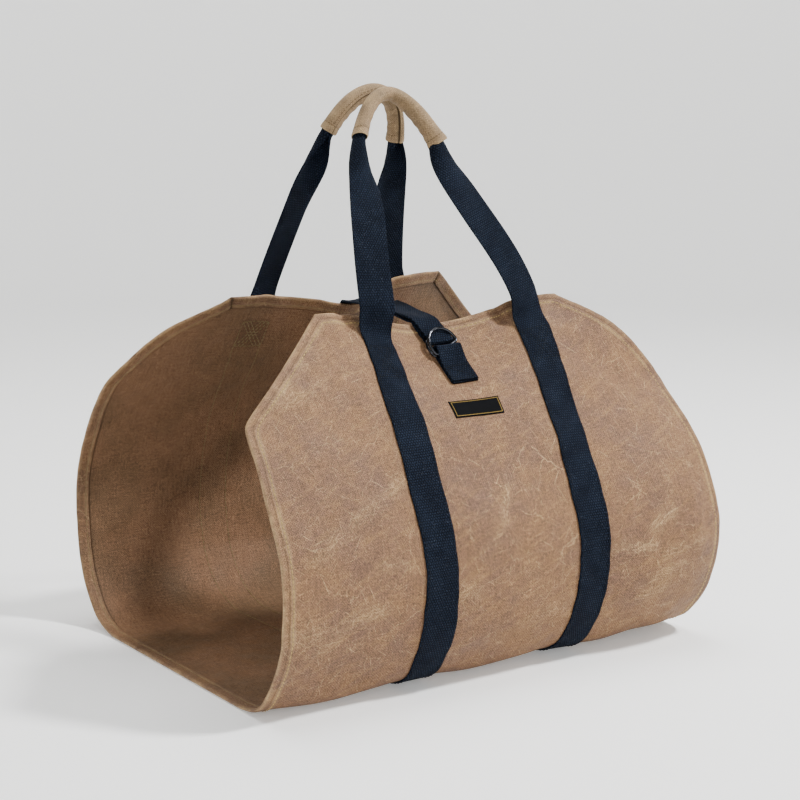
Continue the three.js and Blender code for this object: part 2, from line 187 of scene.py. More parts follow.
# threads over and under, turn about: sin(pi x / across) times sin(pi y / down), x and y being places on the
# cloth. The second sine is given alone as well.
def weaveOf(tree, cloth, across, down):
    split = addNode(tree, "SeparateXYZ", {0: cloth})
    sines = []
    for axis, spacing in (("X", across), ("Y", down)):
        turn = addNode(tree, "Math", {0: split.outputs[axis], 1: math.pi / (spacing * mm)},
                       operation="MULTIPLY")
        sines.append(addNode(tree, "Math", {0: turn}, operation="SINE"))
    return addNode(tree, "Math", {0: sines[0], 1: sines[1]}, operation="MULTIPLY"), sines[1]


# noise drawn out long on the cloth and leaning by an angle. size is its width and length.
def slantingNoise(tree, cloth, lean, size, sockets):
    wide, long = size
    drawn = addNode(tree, "Mapping", {0: cloth, "Rotation": (0, 0, lean),
                                      "Scale": (wide * mm, long * mm, 1)}, vector_type="TEXTURE")
    return addNode(tree, "TexNoise", {"Vector": drawn, "Scale": 1, **sockets})


canvasLook = {
    "body": "#72553e", "dark": "#694f3f", "light": "#826345", "pale": "#c2a67a", "gold": "#94734b",
    # the last colour on the next line is the painted shade in seams, grooves and gaps
    "lining": "#73563f", "liningDark": "#614b36", "grooveShade": "#2c2014",
    "yarn": 1.15,  # drawn about twice as coarse as the real yarn, so that the weave shows
    "slub": 1.1, "warpSlub": 20.0, "weftSlub": 18.0,  # width of thick yarn, and its lengths both ways
    "cloud": 75.0, "patch": 19.0, "craze": 11.0, "bend": 14.0, "rumple": 15.0, "grain": 1.0, "grit": 0.5,
    "brush": (5.0, 42.0), "scratch": (1.1, 30.0),  # width and length of streaks and of scratches
    "brushed": ((1.15, 0.5), (-0.9, 0.22)),  # lean in radians and strength
    "scratched": ((0.65, 0.69), (-0.4, 0.69), (1.3, 0.7), (2.2, 0.69)),  # lean, and lowest noise that shows
    "hair": (0.02, 26.0, 0.52, 0.13),  # thinness, size of the patches with hairs, lowest noise, strength
    "cells": ((44.0, 0.6, 0.5), (44.0 / 2.3, 0.42, 0.28)),  # size, width of the lines, strength
    "bundle": 2.3, "stray": 5.0,  # space between the lines of a crease, and how far they wander
    "hollowShade": (0.74, 1.22), "slubShade": (0.78, 1.22), "dentDepth": 2.2, "yarnDepth": 0.4,
}

# the same cloth on the grips, handled until the wax is even and dull
gripLook = {"body": "#836d54", "dark": "#6c5a43", "light": "#8d7456", "gold": "#987e5a", "pale": "#b89f77",
            "grit": 0.26}


# Waxed cotton duck: plain woven yarn soaked in wax. The wax leaves a dull skin that goes darker where it is
# thick, and pale where it has been folded, rubbed or scratched.
def waxedCanvas(name, look, lined):
    material, tree = newMaterial(name)
    place = addNode(tree, "TexCoord").outputs["Object"]
    cloth = addNode(tree, "UVMap", uv_map="cloth")
    pale = linear(look["pale"])
    weave, _ = weaveOf(tree, cloth, look["yarn"], look["yarn"])
    slubs = []
    for wide, high in ((look["slub"], look["warpSlub"]), (look["weftSlub"], look["slub"])):
        drawn = addNode(tree, "Mapping", {0: cloth, "Scale": (1 / (wide * mm), 1 / (high * mm), 1)})
        slubs.append(addNode(tree, "TexNoise", {"Vector": drawn, "Scale": 1, "Detail": 2}))
    slub = addNode(tree, "Math", {0: slubs[0], 1: slubs[1]}, operation="ADD")  # thick and thin yarn
    cloud = addNode(tree, "TexNoise", {"Vector": place, "Scale": 1 / (look["cloud"] * mm), "Detail": 3})
    patch = addNode(tree, "TexNoise", {"Vector": place, "Scale": 1 / (look["patch"] * mm), "Detail": 5,
                                       "Roughness": 0.58})
    cloudShare = addNode(tree, "MapRange", {0: cloud, 1: 0.34, 2: 0.66}, interpolation_type="SMOOTHSTEP")
    patchShare = addNode(tree, "MapRange", {0: patch, 1: 0.4, 2: 0.72, 4: 0.5})
    colour = addNode(tree, "MixRGB", {0: cloudShare, 1: linear(look["dark"]), 2: linear(look["body"])})
    colour = addNode(tree, "MixRGB", {0: patchShare, 1: colour, 2: linear(look["light"])})
    # golden streaks, as if brushed slantwise
    for lean, share in look["brushed"]:
        streak = slantingNoise(tree, cloth, lean, look["brush"], {"Detail": 5, "Roughness": 0.62})
        streakShare = addNode(tree, "MapRange", {0: streak, 1: 0.5, 2: 0.76, 4: share})
        colour = addNode(tree, "MixRGB", {0: streakShare, 1: colour, 2: linear(look["gold"])})
    # pale lines where the wax has cracked: curled hairs, where a field is near its middle value, and the
    # edges of bent cells, as in crumpled paper, of two sizes. Each kind shows in patches of its own.
    bend = addNode(tree, "TexNoise", {"Vector": place, "Scale": 1 / (look["bend"] * mm), "Detail": 3})
    bent = addNode(tree, "VectorMath", {0: bend.outputs["Color"], 1: (look["bend"] * mm,) * 3, 2: place},
                   operation="MULTIPLY_ADD")
    field = addNode(tree, "TexNoise", {"Vector": place, "Scale": 1 / (look["craze"] * mm), "Detail": 4,
                                       "Roughness": 0.58, "Distortion": 1.4})
    away = addNode(tree, "Math", {0: field, 1: 0.5}, operation="SUBTRACT")
    away = addNode(tree, "Math", {0: away}, operation="ABSOLUTE")
    kinds = [(away, *look["hair"])]
    for cell, wide, share in look["cells"]:
        cells = addNode(tree, "TexVoronoi", {"Vector": bent, "Scale": 1 / (cell * mm)},
                        feature="DISTANCE_TO_EDGE")
        kinds.append((cells, wide / cell, 0.8 * cell, 0.46, share))
    lines = []
    for distance, thin, patchSize, lowest, share in kinds:
        line = addNode(tree, "MapRange", {0: distance, 1: 0, 2: thin, 3: 1, 4: 0})
        gate = addNode(tree, "TexNoise", {"Vector": place, "W": patchSize, "Scale": 1 / (patchSize * mm),
                                          "Detail": 3}, noise_dimensions="4D")
        gateShare = addNode(tree, "MapRange", {0: gate, 1: lowest, 2: 0.7, 4: share})
        lines.append(addNode(tree, "Math", {0: line, 1: gateShare}, operation="MULTIPLY"))
        colour = addNode(tree, "MixRGB", {0: lines[-1], 1: colour, 2: pale})
    # scratches: fine slanting noise, cut off near its tops
    for lean, lowest in look["scratched"]:
        streak = slantingNoise(tree, cloth, lean, look["scratch"], {"Detail": 1})
        mark = addNode(tree, "MapRange", {0: streak, 1: lowest, 2: lowest + 0.08, 4: 0.36})
        colour = addNode(tree, "MixRGB", {0: mark, 1: colour, 2: pale})
    ragged = addNode(tree, "MapRange", {0: patch, 1: 0.34, 2: 0.62})
    if lined:
        # a crease is a bundle of fine wandering lines, even distances apart, on a rubbed stripe
        crease = addNode(tree, "Attribute", attribute_name="crease")
        creaseAway = addNode(tree, "Attribute", attribute_name="creaseAway")
        stray = addNode(tree, "MapRange", {0: bend, 1: 0.25, 2: 0.75, 3: -look["stray"], 4: look["stray"]})
        stray = addNode(tree, "Math", {0: stray, 1: creaseAway.outputs["Fac"]}, operation="ADD")
        apart = addNode(tree, "Math", {0: stray, 1: look["bundle"]}, operation="PINGPONG")
        fine = addNode(tree, "MapRange", {0: apart, 1: 0, 2: 0.8, 3: 1, 4: 0.2})
        fine = addNode(tree, "Math", {0: fine, 1: ragged}, operation="MULTIPLY")
        fine = addNode(tree, "Math", {0: fine, 1: crease.outputs["Fac"]}, operation="MULTIPLY")
        colour = addNode(tree, "MixRGB", {0: fine, 1: colour, 2: pale})
        # the inner face, never waxed, is darker and browner
        lining = addNode(tree, "Attribute", attribute_name="lining")
        liner = addNode(tree, "MixRGB", {0: cloudShare, 1: linear(look["liningDark"]),
                                         2: linear(look["lining"])})
        liner = addNode(tree, "MixRGB", {0: streakShare, 1: liner, 2: linear(look["body"])})
        colour = addNode(tree, "MixRGB", {0: lining.outputs["Fac"], 1: colour, 2: liner})
    # yarn: painted shade in the hollows of the weave and painted highlight on the raised threads, and thick
    # yarn is a little paler
    grain = addNode(tree, "TexNoise", {"Vector": place, "Scale": 1 / (look["grain"] * mm), "Detail": 2})
    shadedHollow = addNode(tree, "MapRange", {0: weave, 1: -1, 2: 1, 3: look["hollowShade"][0],
                                        4: look["hollowShade"][1]})
    slubShade = addNode(tree, "MapRange", {0: slub, 1: 0.7, 2: 1.3, 3: look["slubShade"][0],
                                           4: look["slubShade"][1]})
    grainShade = addNode(tree, "MapRange", {0: grain, 1: 0.3, 2: 0.7, 3: 1 - look["grit"],
                                            4: 1 + look["grit"]})
    yarn = addNode(tree, "Math", {0: shadedHollow, 1: slubShade}, operation="MULTIPLY")
    yarn = addNode(tree, "Math", {0: yarn, 1: grainShade}, operation="MULTIPLY")
    colour = addNode(tree, "MixRGB", {0: 1.0, 1: colour, 2: yarn}, blend_type="MULTIPLY")
    wear = addNode(tree, "Attribute", attribute_name="wear")
    rubbed = addNode(tree, "Math", {0: wear.outputs["Fac"], 1: ragged}, operation="MULTIPLY")
    colour = addNode(tree, "MixRGB", {0: rubbed, 1: colour, 2: pale})
    grooveShade = addNode(tree, "Attribute", attribute_name="grooveShade")  # painted shade along the seams, hem steps, mitres and lapped edges
    colour = addNode(tree, "MixRGB", {0: grooveShade.outputs["Fac"], 1: colour, 2: linear(look["grooveShade"])})
    rough = addNode(tree, "MapRange", {0: patch, 1: 0.3, 2: 0.75, 3: 0.6, 4: 0.8})
    # soft dents of handled cloth, then the yarn and the cracks in the wax
    rumple = addNode(tree, "TexNoise", {"Vector": place, "Scale": 1 / (look["rumple"] * mm), "Detail": 4,
                                        "Roughness": 0.55})
    dents = addNode(tree, "Bump", {"Height": rumple, "Strength": 0.5, "Distance": look["dentDepth"] * mm})
    relief = addNode(tree, "Math", {0: weave, 1: 0.3, 2: grain}, operation="MULTIPLY_ADD")
    relief = addNode(tree, "Math", {0: slub, 1: 0.5, 2: relief}, operation="MULTIPLY_ADD")
    relief = addNode(tree, "Math", {0: lines[1], 1: 1.5, 2: relief}, operation="MULTIPLY_ADD")
    bump = addNode(tree, "Bump", {"Height": relief, "Strength": 0.5, "Distance": look["yarnDepth"] * mm,
                                  "Normal": dents})
    shader = addNode(tree, "BsdfPrincipled", {
        "Base Color": colour, "Roughness": rough, "Normal": bump, "IOR": 1.46, "Specular IOR Level": 0.2})
    addNode(tree, "OutputMaterial", {"Surface": shader})
    return material


# rows and dots are drawn half as coarse again as the real ones, so that they show
webbingLook = {"shadedHollow": "#020307", "yarn": "#131b29", "top": "#222b3b", "lint": "#515863",
               "row": 2.2, "dot": 2.4, "dust": 16.0, "fuzz": 1.1, "depth": 0.45}


# Heavy cotton webbing, dyed navy: thick weft rows, each a line of dots that sits half a dot off the next,
# with a dull dusty surface and a few pale specks of lint.
def cottonWebbing(name, look):
    material, tree = newMaterial(name)
    cloth = addNode(tree, "UVMap", uv_map="cloth")
    weave, row = weaveOf(tree, cloth, look["dot"] / 2, look["row"])
    rib = addNode(tree, "Math", {0: row}, operation="ABSOLUTE")
    height = addNode(tree, "Math", {0: weave, 1: 0.9, 2: rib}, operation="MULTIPLY_ADD")
    place = addNode(tree, "TexCoord").outputs["Object"]
    dust = addNode(tree, "TexNoise", {"Vector": place, "Scale": 1 / (look["dust"] * mm), "Detail": 4})
    fuzz = addNode(tree, "TexNoise", {"Vector": place, "Scale": 1 / (look["fuzz"] * mm), "Detail": 3})
    # colour follows the relief: painted shade in the hollows between the dots
    share = addNode(tree, "MapRange", {0: height, 1: -0.1, 2: 1.5})
    colour = addNode(tree, "MixRGB", {0: share, 1: linear(look["shadedHollow"]), 2: linear(look["yarn"])})
    # the tops of the dots are paler in patches: partly dust, partly painted highlight
    dustAndHighlight = addNode(tree, "MapRange", {0: dust, 1: 0.36, 2: 0.72, 4: 0.6})
    dustAndHighlight = addNode(tree, "Math", {0: dustAndHighlight, 1: share}, operation="MULTIPLY")
    colour = addNode(tree, "MixRGB", {0: dustAndHighlight, 1: colour, 2: linear(look["top"])})
    speck = addNode(tree, "MapRange", {0: fuzz, 1: 0.64, 2: 0.74, 4: 0.5})
    colour = addNode(tree, "MixRGB", {0: speck, 1: colour, 2: linear(look["lint"])})
    relief = addNode(tree, "Math", {0: fuzz, 1: 0.5, 2: height}, operation="MULTIPLY_ADD")
    bump = addNode(tree, "Bump", {"Height": relief, "Strength": 0.7, "Distance": look["depth"] * mm})
    shader = addNode(tree, "BsdfPrincipled", {
        "Base Color": colour, "Roughness": 0.9, "Normal": bump, "Specular IOR Level": 0.08})
    addNode(tree, "OutputMaterial", {"Surface": shader})
    return material


ringLook = {"dark": "#28292d", "light": "#46484d", "smudge": 5.0}


# Steel wire plated black nickel: a dark mirror with faint smudges.
def blackNickel(name, look):
    material, tree = newMaterial(name)
    place = addNode(tree, "TexCoord").outputs["Object"]
    smudge = addNode(tree, "TexNoise", {"Vector": place, "Scale": 1 / (look["smudge"] * mm), "Detail": 3})
    tone = addNode(tree, "MixRGB", {0: smudge, 1: linear(look["dark"]), 2: linear(look["light"])})
    rough = addNode(tree, "MapRange", {0: smudge, 1: 0.3, 2: 0.7, 3: 0.08, 4: 0.18})
    shader = addNode(tree, "BsdfPrincipled", {"Base Color": tone, "Roughness": rough, "Metallic": 1.0})
    addNode(tree, "OutputMaterial", {"Surface": shader})
    return material


threadLook = {"ply": 0.8, "depth": 0.1}
threadTones = {  # of the tops of the plies, and of the painted shade between them
    "tan": ("#bea26c", "#8c7346"), "brown": ("#8e7a58", "#65543c"), "umber": ("#57462f", "#3f3122"),
    "navy": ("#0c1119", "#05080d"), "olive": ("#877853", "#5f533a"),
}


# Waxed sewing thread: two plies laid round each other, which show as slanting stripes.
def sewingThread(name, colour, shade):
    material, tree = newMaterial(name)
    cloth = addNode(tree, "UVMap", uv_map="cloth")
    split = addNode(tree, "SeparateXYZ", {0: cloth})
    lay = addNode(tree, "Math", {0: split.outputs["X"], 1: split.outputs["Y"]}, operation="ADD")
    lay = addNode(tree, "Math", {0: lay, 1: 2 * math.pi / (threadLook["ply"] * mm)}, operation="MULTIPLY")
    ply = addNode(tree, "Math", {0: lay}, operation="SINE")
    share = addNode(tree, "MapRange", {0: ply, 1: -1, 2: 0.6})
    tone = addNode(tree, "MixRGB", {0: share, 1: linear(shade), 2: linear(colour)})
    bump = addNode(tree, "Bump", {"Height": ply, "Strength": 0.5, "Distance": threadLook["depth"] * mm})
    shader = addNode(tree, "BsdfPrincipled", {"Base Color": tone, "Roughness": 0.7, "Normal": bump,
                                              "Specular IOR Level": 0.15})
    addNode(tree, "OutputMaterial", {"Surface": shader})
    return material


labelLook = {"dark": ("#040506", "#0f1012"), "gold": ("#5a4a24", "#93793f"), "dot": 0.75, "row": 0.55,
             "depth": 0.2}


# Woven label: fine black damask with one line of yellow weft round its edge.
def wovenLabel(name, look, size):
    material, tree = newMaterial(name)
    cloth = addNode(tree, "UVMap", uv_map="cloth")
    split = addNode(tree, "SeparateXYZ", {0: cloth})
    toEdge = []
    for axis, half in zip("XY", (size["width"] / 2, size["height"] / 2)):
        away = addNode(tree, "Math", {0: split.outputs[axis]}, operation="ABSOLUTE")
        toEdge.append(addNode(tree, "Math", {0: half * mm, 1: away}, operation="SUBTRACT"))
    nearest = addNode(tree, "Math", {0: toEdge[0], 1: toEdge[1]}, operation="MINIMUM")
    border = {0: nearest, 1: size["border"] * mm, 2: size["borderWidth"] / 2 * mm}
    frameLine = addNode(tree, "Math", border, operation="COMPARE")
    weave, _ = weaveOf(tree, cloth, look["dot"], look["row"])
    share = addNode(tree, "MapRange", {0: weave, 1: -1, 2: 1})
    dark, gold = (addNode(tree, "MixRGB", {0: share, 1: linear(low), 2: linear(high)})
                  for low, high in (look["dark"], look["gold"]))
    tone = addNode(tree, "MixRGB", {0: frameLine, 1: dark, 2: gold})
    bump = addNode(tree, "Bump", {"Height": weave, "Strength": 0.5, "Distance": look["depth"] * mm})
    shader = addNode(tree, "BsdfPrincipled", {"Base Color": tone, "Roughness": 0.85, "Normal": bump,
                                              "Specular IOR Level": 0.05})
    addNode(tree, "OutputMaterial", {"Surface": shader})
    return material


bodyCloth = waxedCanvas("waxed_cotton_duck", canvasLook, True)
gripCloth = waxedCanvas("waxed_cotton_duck_grip", {**canvasLook, **gripLook}, False)
webbingCloth = cottonWebbing("navy_cotton_webbing", webbingLook)
ringMetal = blackNickel("black_nickel_steel", ringLook)
threads = {colour: sewingThread(colour + "_sewing_thread", *tones) for colour, tones in threadTones.items()}
print("materials made")


# Shape of the cloth

canvas = {
    "length": 455.0, "wall": 1.6, "cornerCut": 103.0,
    "baseLift": 2.7, "baseSag": 1.2, "sagReach": 34.0,
    "cornerRound": 4.0, "cutBulge": [[-3, 10], [6, 2]],  # bow of the cuts: front then back, left then right
    "rowStep": 4.4, "columns": 104,
    # half of the cross-section, y and z from the middle of the base to the top edge
    "section": [(0, 0), (90, 0), (118, 0), (156, 13), (180, 46), (189, 98), (183, 141), (160, 193),
                (131, 233), (98, 285.5), (83, 309)],
    "cutRow": 8, "seamRow": 9,
    "flareReach": 110.0, "flareOut": {-1: 14, 1: 25}, "flareLift": {-1: 3, 1: 8},
    # side, x and distance below the top edge, half-sizes both ways, pull inwards, drop
    "folds": [
        (-1, 0, 0, 420, 110, 5, 0), (-1, -4, 0, 110, 110, 11, 18), (1, 5, 0, 66, 100, 15, 14),
        (-1, -80, 0, 36, 34, 6, 0), (-1, 96, 0, 48, 36, 9, 0), (1, -86, 0, 34, 34, 5, 0),
        (1, 76, 0, 44, 36, 8, 0), (-1, 240, 90, 130, 85, 17, 0), (-1, 240, 225, 150, 100, -5.5, 0),
        (1, 190, 60, 90, 60, -9, 0), (1, -240, 90, 130, 85, 8, 0),
        (-1, 0, 147, 330, 62, 6, 0), (-1, 60, 275, 330, 90, -4, 0), (1, -58, 0, 34, 60, 0, 4),
        (1, -185, 52, 85, 64, 0, -6), (-1, 185, 42, 75, 60, 0, -6), (1, 95, 0, 75, 60, 0, -5),
        (-1, -160, 343, 120, 34, -3, 5), (-1, 106, 343, 60, 34, -2, 4), (-1, -5, 343, 105, 34, -2, 4.5),
        (-1, 240, 240, 52, 190, 8, 0), (-1, 190, 235, 110, 170, -10, 0),
    ],
    # side, x and below at both ends of the line, half-width, height outwards, how much the wax is rubbed off
    "creases": [
        (-1, -97, -6, -95, 20, 6.5, -4.2, 0), (-1, 65, -6, 67, 20, 7.0, -4.6, 0),
        (-1, -60, -4, -50, 16, 9, 1.6, 0.2), (-1, 118, -4, 112, 30, 9, 1.5, 0.2),
        (-1, 140, 90, 205, 150, 13, 1.3, 0), (-1, 120, 60, 190, 96, 10, -1.1, 0),
        (-1, 150, 210, 215, 250, 14, 1.2, 0), (-1, -190, 150, -120, 190, 14, 1.1, 0),
        (-1, -30, 190, 40, 240, 18, 1.2, 0), (-1, -50, 330, 30, 300, 16, -1.0, 0),
        (-1, 120, 330, 200, 350, 15, 1.0, 0), (-1, -200, 300, -120, 330, 16, -0.9, 0),
        (-1, 143, 225, 170, 210, 4.5, 1.1, 0.8), (-1, 105, 240, 149, 240, 4.5, 1.0, 0.75),
        (-1, 155, 250, 198, 240, 5.5, 0.9, 0.6), (-1, 129, 274, 179, 259, 6, 0.9, 0.5),
        (-1, 132, 291, 168, 279, 6, 0.8, 0.45), (-1, 7, 165, -13, 210, 3.8, 0.5, 0.5),
        (-1, -13, 210, -34, 223, 3.8, 0.5, 0.55), (-1, 170, 174, 167, 195, 4.2, 0.5, 0.45),
        (-1, -61, 258, -38, 250, 7, 0.8, 0.5), (-1, -191, 78, -140, 61, 7, 1.2, 0.4),
        (-1, -200, 78, -134, 33, 6, 1.0, 0.35), (-1, -199, 207, -167, 189, 6, 0.9, 0.5),
        (-1, -167, 189, -98, 157, 6.5, 0.9, 0.5), (-1, -226, 270, -131, 255, 8, 1.3, 0.45),
        (-1, -205, 283, -173, 273, 5, 0.6, 0.4), (-1, -136, 219, -104, 225, 5, 0.5, 0.4),
        (-1, 60, 150, 78, 128, 5, 0.6, 0.4), (-1, 20, 290, 62, 279, 6, 0.8, 0.4),
        (1, -60, 58, 0, 40, 12, -2.2, 0), (1, -190, 120, -120, 170, 16, 1.3, 0),
        (1, 100, 130, 180, 180, 16, -1.3, 0), (1, -40, 220, 40, 250, 18, 1.2, 0),
        (1, 60, -4, 52, 22, 8, 2.0, 0.2), (1, 130, 20, 165, 60, 12, 2.0, 0.2),
        (1, -150, 215, -118, 203, 5, 1.0, 0.7), (1, 110, 236, 152, 244, 5.5, 0.9, 0.6),
        (1, -30, 170, -8, 205, 4, 0.5, 0.5), (1, 150, 262, 196, 250, 6, 0.9, 0.5),
        (1, -196, 268, -140, 258, 7, 1.1, 0.45), (1, 20, 262, 48, 252, 7, 0.8, 0.5),
        (1, 186, 70, 142, 56, 7, 1.1, 0.4), (1, -110, 80, -64, 110, 6, 0.7, 0.4),
        (1, -52, 292, 0, 280, 6, 0.8, 0.4), (1, 42, 128, 66, 160, 5, 0.6, 0.45),
    ],
    "waves": 14, "waveHeight": 0.32, "waveSizes": (55, 185),
    # short puckers along the hems: shares of x and of the girth, length in millimetres over 2 pi, phase
    "puckers": [(1, 0.9, 3.1, 0), (1, -0.8, 4.3, 1), (0.7, 1, 5.9, 2)],
    "puckerHeight": 0.13, "puckerReach": 13.0,
    # puckers beside the straps, a little past the ends of their seams: lengths of the sines over 2 pi
    "pull": 0.3, "pullReach": 8.0, "pullPast": 10.0, "pullLengths": (4.4, 37.0, 7.3),
    "calmEdge": 112.0, "baseEdge": 118.0, "baseFade": 60.0,  # wrinkles die away on the base
    "creasePast": 0.3, "creaseTaper": 0.5,  # how a crease runs out, as shares of its length
    "cornerReach": 18.0, "cornerStep": 1.5,  # closer rows at the cut corners
}
strap = {
    "width": 32.0, "thick": 1.8, "gap": 0.1,
    "rowStep": 3.6, "legRows": 66, "gripRows": 22, "legEase": 10.0, "legStart": 34.0,
    "curlLength": 80.0, "rollRadius": 5.2, "flatSweep": 0.001, "meeting": 0.012,
    # places across the webbing as shares of its half-width, and its half-thickness there as a share
    "profile": [(-1, 0.3), (-0.988, 0.72), (-0.95, 0.98), (-0.88, 1.06), (-0.8, 0.96), (-0.6, 1), (-0.4, 1),
                (-0.2, 1), (0, 1), (0.2, 1), (0.4, 1), (0.6, 1), (0.8, 0.96), (0.88, 1.06), (0.95, 0.98),
                (0.988, 0.72), (1, 0.3)],
}
# drift: how far a strap strays sideways on the front panel, at distances below the top edge
strapEnds = {
    "left_webbing": {"node": "left_strap", "end": -1, "frontX": -75.0, "backX": -85.0,
                     "drift": [(0, 5), (35, 5), (85, 1), (115, 0), (150, -2), (190, -1.5), (230, 0),
                               (300, 0)]},
    "right_webbing": {"node": "right_strap", "end": 1, "frontX": 88.0, "backX": 69.5,
                      "drift": [(0, 1.5), (60, 1.5), (105, 0), (300, 0)]},
}

halfLength = canvas["length"] / 2
halfWall = canvas["wall"] / 2
sectionSteps = 200
sectionPath = smoothThrough(canvas["section"], sectionSteps)
sectionGirth = pathLength(sectionPath)
halfGirth = sectionGirth[-1]
seamGirth = sectionGirth[canvas["seamRow"] * sectionSteps]
cornerRise = halfGirth - sectionGirth[canvas["cutRow"] * sectionSteps]
seeded = np.random.default_rng(41)
waveTurn = seeded.uniform(0, math.pi, canvas["waves"])
waveLength = seeded.uniform(*canvas["waveSizes"], canvas["waves"])
wavePhase = seeded.uniform(0, 2 * math.pi, canvas["waves"])


# half of the sheet's length, at a distance below its top edge and a depth in from its outline: the smaller
# of the open end's line and the cut corner's, rounded by a hyperbola where they meet. A cut bows out by a
# parabola.
def halfLine(side, end, below, depth):
    bulge = np.array(canvas["cutBulge"], float)[np.where(side < 0, 0, 1), np.where(end < 0, 0, 1)]
    share = np.clip(below / cornerRise, 0, 1)
    cut = halfLength - canvas["cornerCut"] * (1 - below / cornerRise) + 4 * bulge * share * (1 - share)
    lean = (canvas["cornerCut"] + 4 * bulge * (1 - 2 * share)) / cornerRise
    straight = halfLength - depth
    slanted = cut - depth * np.hypot(1, lean)
    return (straight + slanted) / 2 - np.hypot((straight - slanted) / 2, canvas["cornerRound"])


# distances in from the top edge, and from the open end or cut corner, the second by four of Newton's steps
def edgeGaps(x, s):
    side, end = np.sign(s), np.sign(x)
    below = halfGirth - abs(s)
    depth = 0 * x + 0 * s
    for _ in range(4):
        line = halfLine(side, end, below, depth)
        depth = depth + (line - abs(x)) / (line - halfLine(side, end, below, depth + 1))
    return below + 0 * x, depth


# middle line of a strap: straight from its front seam to its back one, but for its drift on the front panel
def strapX(ends, s):
    drift = smoothThrough(ends["drift"], 12)
    strayed = np.interp(halfGirth - abs(s), drift[:, 0], drift[:, 1])
    straight = np.interp(s, [-seamGirth, seamGirth], [ends["frontX"], ends["backX"]])
    return straight + np.where(s < 0, strayed, 0)


# for each crease, a bell over the distance from its line, tapered past the ends of the line, and that
# distance, negative on one side of the line
def nearCreases(x, s):
    side, x0, below0, x1, below1, width = np.array(canvas["creases"], float).T[:6]
    runX, runBelow = x1 - x0, below1 - below0
    fromX, fromBelow = x[..., None] - x0, (halfGirth - abs(s))[..., None] - below0
    along = (fromX * runX + fromBelow * runBelow) / (runX**2 + runBelow**2)
    held = np.clip(along, 0, 1)
    away = np.hypot(fromX - held * runX, fromBelow - held * runBelow)
    past, taper = canvas["creasePast"], canvas["creaseTaper"]
    tapered = ease((along + past) / taper) * ease((1 + past - along) / taper)
    near = np.where(np.where(s < 0, -1, 1)[..., None] == side, tapered * bell(away, width), 0)
    return near, (fromX * runBelow - fromBelow * runX) / np.hypot(runX, runBelow)


# how far the cloth stands out of its plain section: broad sines in all directions, short puckers that die
# away from the hems and the strap seams, a sag between the straps, and the creases
def wrinkle(x, s):
    flow = x[..., None] * np.cos(waveTurn) + s[..., None] * np.sin(waveTurn)
    rise = canvas["waveHeight"] * np.sin(flow * 2 * math.pi / waveLength + wavePhase).sum(-1)
    edge = np.minimum(*edgeGaps(x, s))
    pucker = sum(np.sin((shareX * x + shareS * s) / length + phase)
                 for shareX, shareS, length, phase in canvas["puckers"])
    fade = np.exp(-np.clip(edge, 0, None) / canvas["puckerReach"])
    rise = rise + canvas["puckerHeight"] * fade * pucker
    offBase = ease((abs(s) - canvas["baseEdge"]) / canvas["baseFade"])
    sag = 1 - offBase
    for ends in strapEnds.values():
        gap = abs(x - strapX(ends, s)) - strap["width"] / 2
        sag = sag * ease(gap / canvas["sagReach"])
        short, slow, longer = canvas["pullLengths"]
        pull = np.sin(s / short + 2 * np.sin(s / slow)) + np.sin(s / longer + ends["end"])
        pull = pull * bell(gap, canvas["pullReach"]) * (abs(s) < seamGirth + canvas["pullPast"])
        rise = rise + canvas["pull"] * offBase * pull
    rise = rise + nearCreases(x, s)[0] @ np.array(canvas["creases"])[:, 6]
    return rise * ease((abs(s) - canvas["calmEdge"]) / canvas["baseFade"]) + canvas["baseSag"] * sag


def sectionAt(girth):
    return (np.interp(girth, sectionGirth, sectionPath[:, i]) for i in range(2))


# middle of the cloth at x along the carrier and girth s from the middle of the base, negative at the front:
# the section, widened by the flare, pulled in by the folds, and moved along its normal by the wrinkles
def clothMiddle(x, s):
    x, s = np.broadcast_arrays(np.asarray(x, float), np.asarray(s, float))
    side = np.where(s < 0, -1, 1)
    girth = np.minimum(abs(s), halfGirth)
    below = halfGirth - girth
    y, z = sectionAt(girth)
    aheadY, aheadZ = sectionAt(np.minimum(girth + 1, halfGirth))
    behindY, behindZ = sectionAt(np.maximum(girth - 1, 0))
    slopeY, slopeZ = aheadY - behindY, aheadZ - behindZ
    rise = wrinkle(x, s) / np.hypot(slopeY, slopeZ)
    opening = x / halfLength * np.clip(1 - below / canvas["flareReach"], 0, None) ** 2
    outwards, lift = canvas["flareOut"], canvas["flareLift"]
    y = y + np.where(side < 0, outwards[-1], outwards[1]) * opening + rise * slopeZ
    lifted = np.where(side < 0, lift[-1] * opening, lift[1] * np.maximum(0, opening))
    z = np.maximum(0, z) + lifted - rise * slopeY
    for foldSide, foldX, foldBelow, width, reach, pull, drop in canvas["folds"]:
        along = np.clip(1 - ((x - foldX) / width) ** 2, 0, None)
        down = np.clip(1 - ((below - foldBelow) / reach) ** 2, 0, None)
        share = np.where(side == foldSide, (along * down) ** 2, 0)
        y = y - pull * share
        z = z - drop * share
    return np.stack([x, side * y, np.maximum(z, -canvas["baseSag"]) + canvas["baseLift"]], -1)


# slope round the girth, direction along the carrier and outward normal, from places 1 mm either side
def clothFrame(x, s):
    x, s = np.broadcast_arrays(np.asarray(x, float), np.asarray(s, float))
    ahead = clothMiddle(x, np.minimum(s + 1, halfGirth))
    slope = unit(ahead - clothMiddle(x, np.maximum(s - 1, -halfGirth)))
    along = unit(clothMiddle(x + 1, s) - clothMiddle(x - 1, s))
    return slope, along, unit(np.cross(slope, along))


def overCloth(x, s, height):
    return clothMiddle(x, s) + clothFrame(x, s)[2] * np.asarray(height, float)[..., None]


# a place beside a panel: below its top edge, or over the edge where below is negative
def besidePanel(side, x, below, height):
    s = side * (halfGirth - np.maximum(0, below))
    slope, _, normal = clothFrame(x, s)
    beyond = np.asarray(side * np.maximum(0, -below) + 0 * x)
    return clothMiddle(x, s) + normal * np.asarray(height + 0 * x)[..., None] + slope * beyond[..., None]


# The canvas

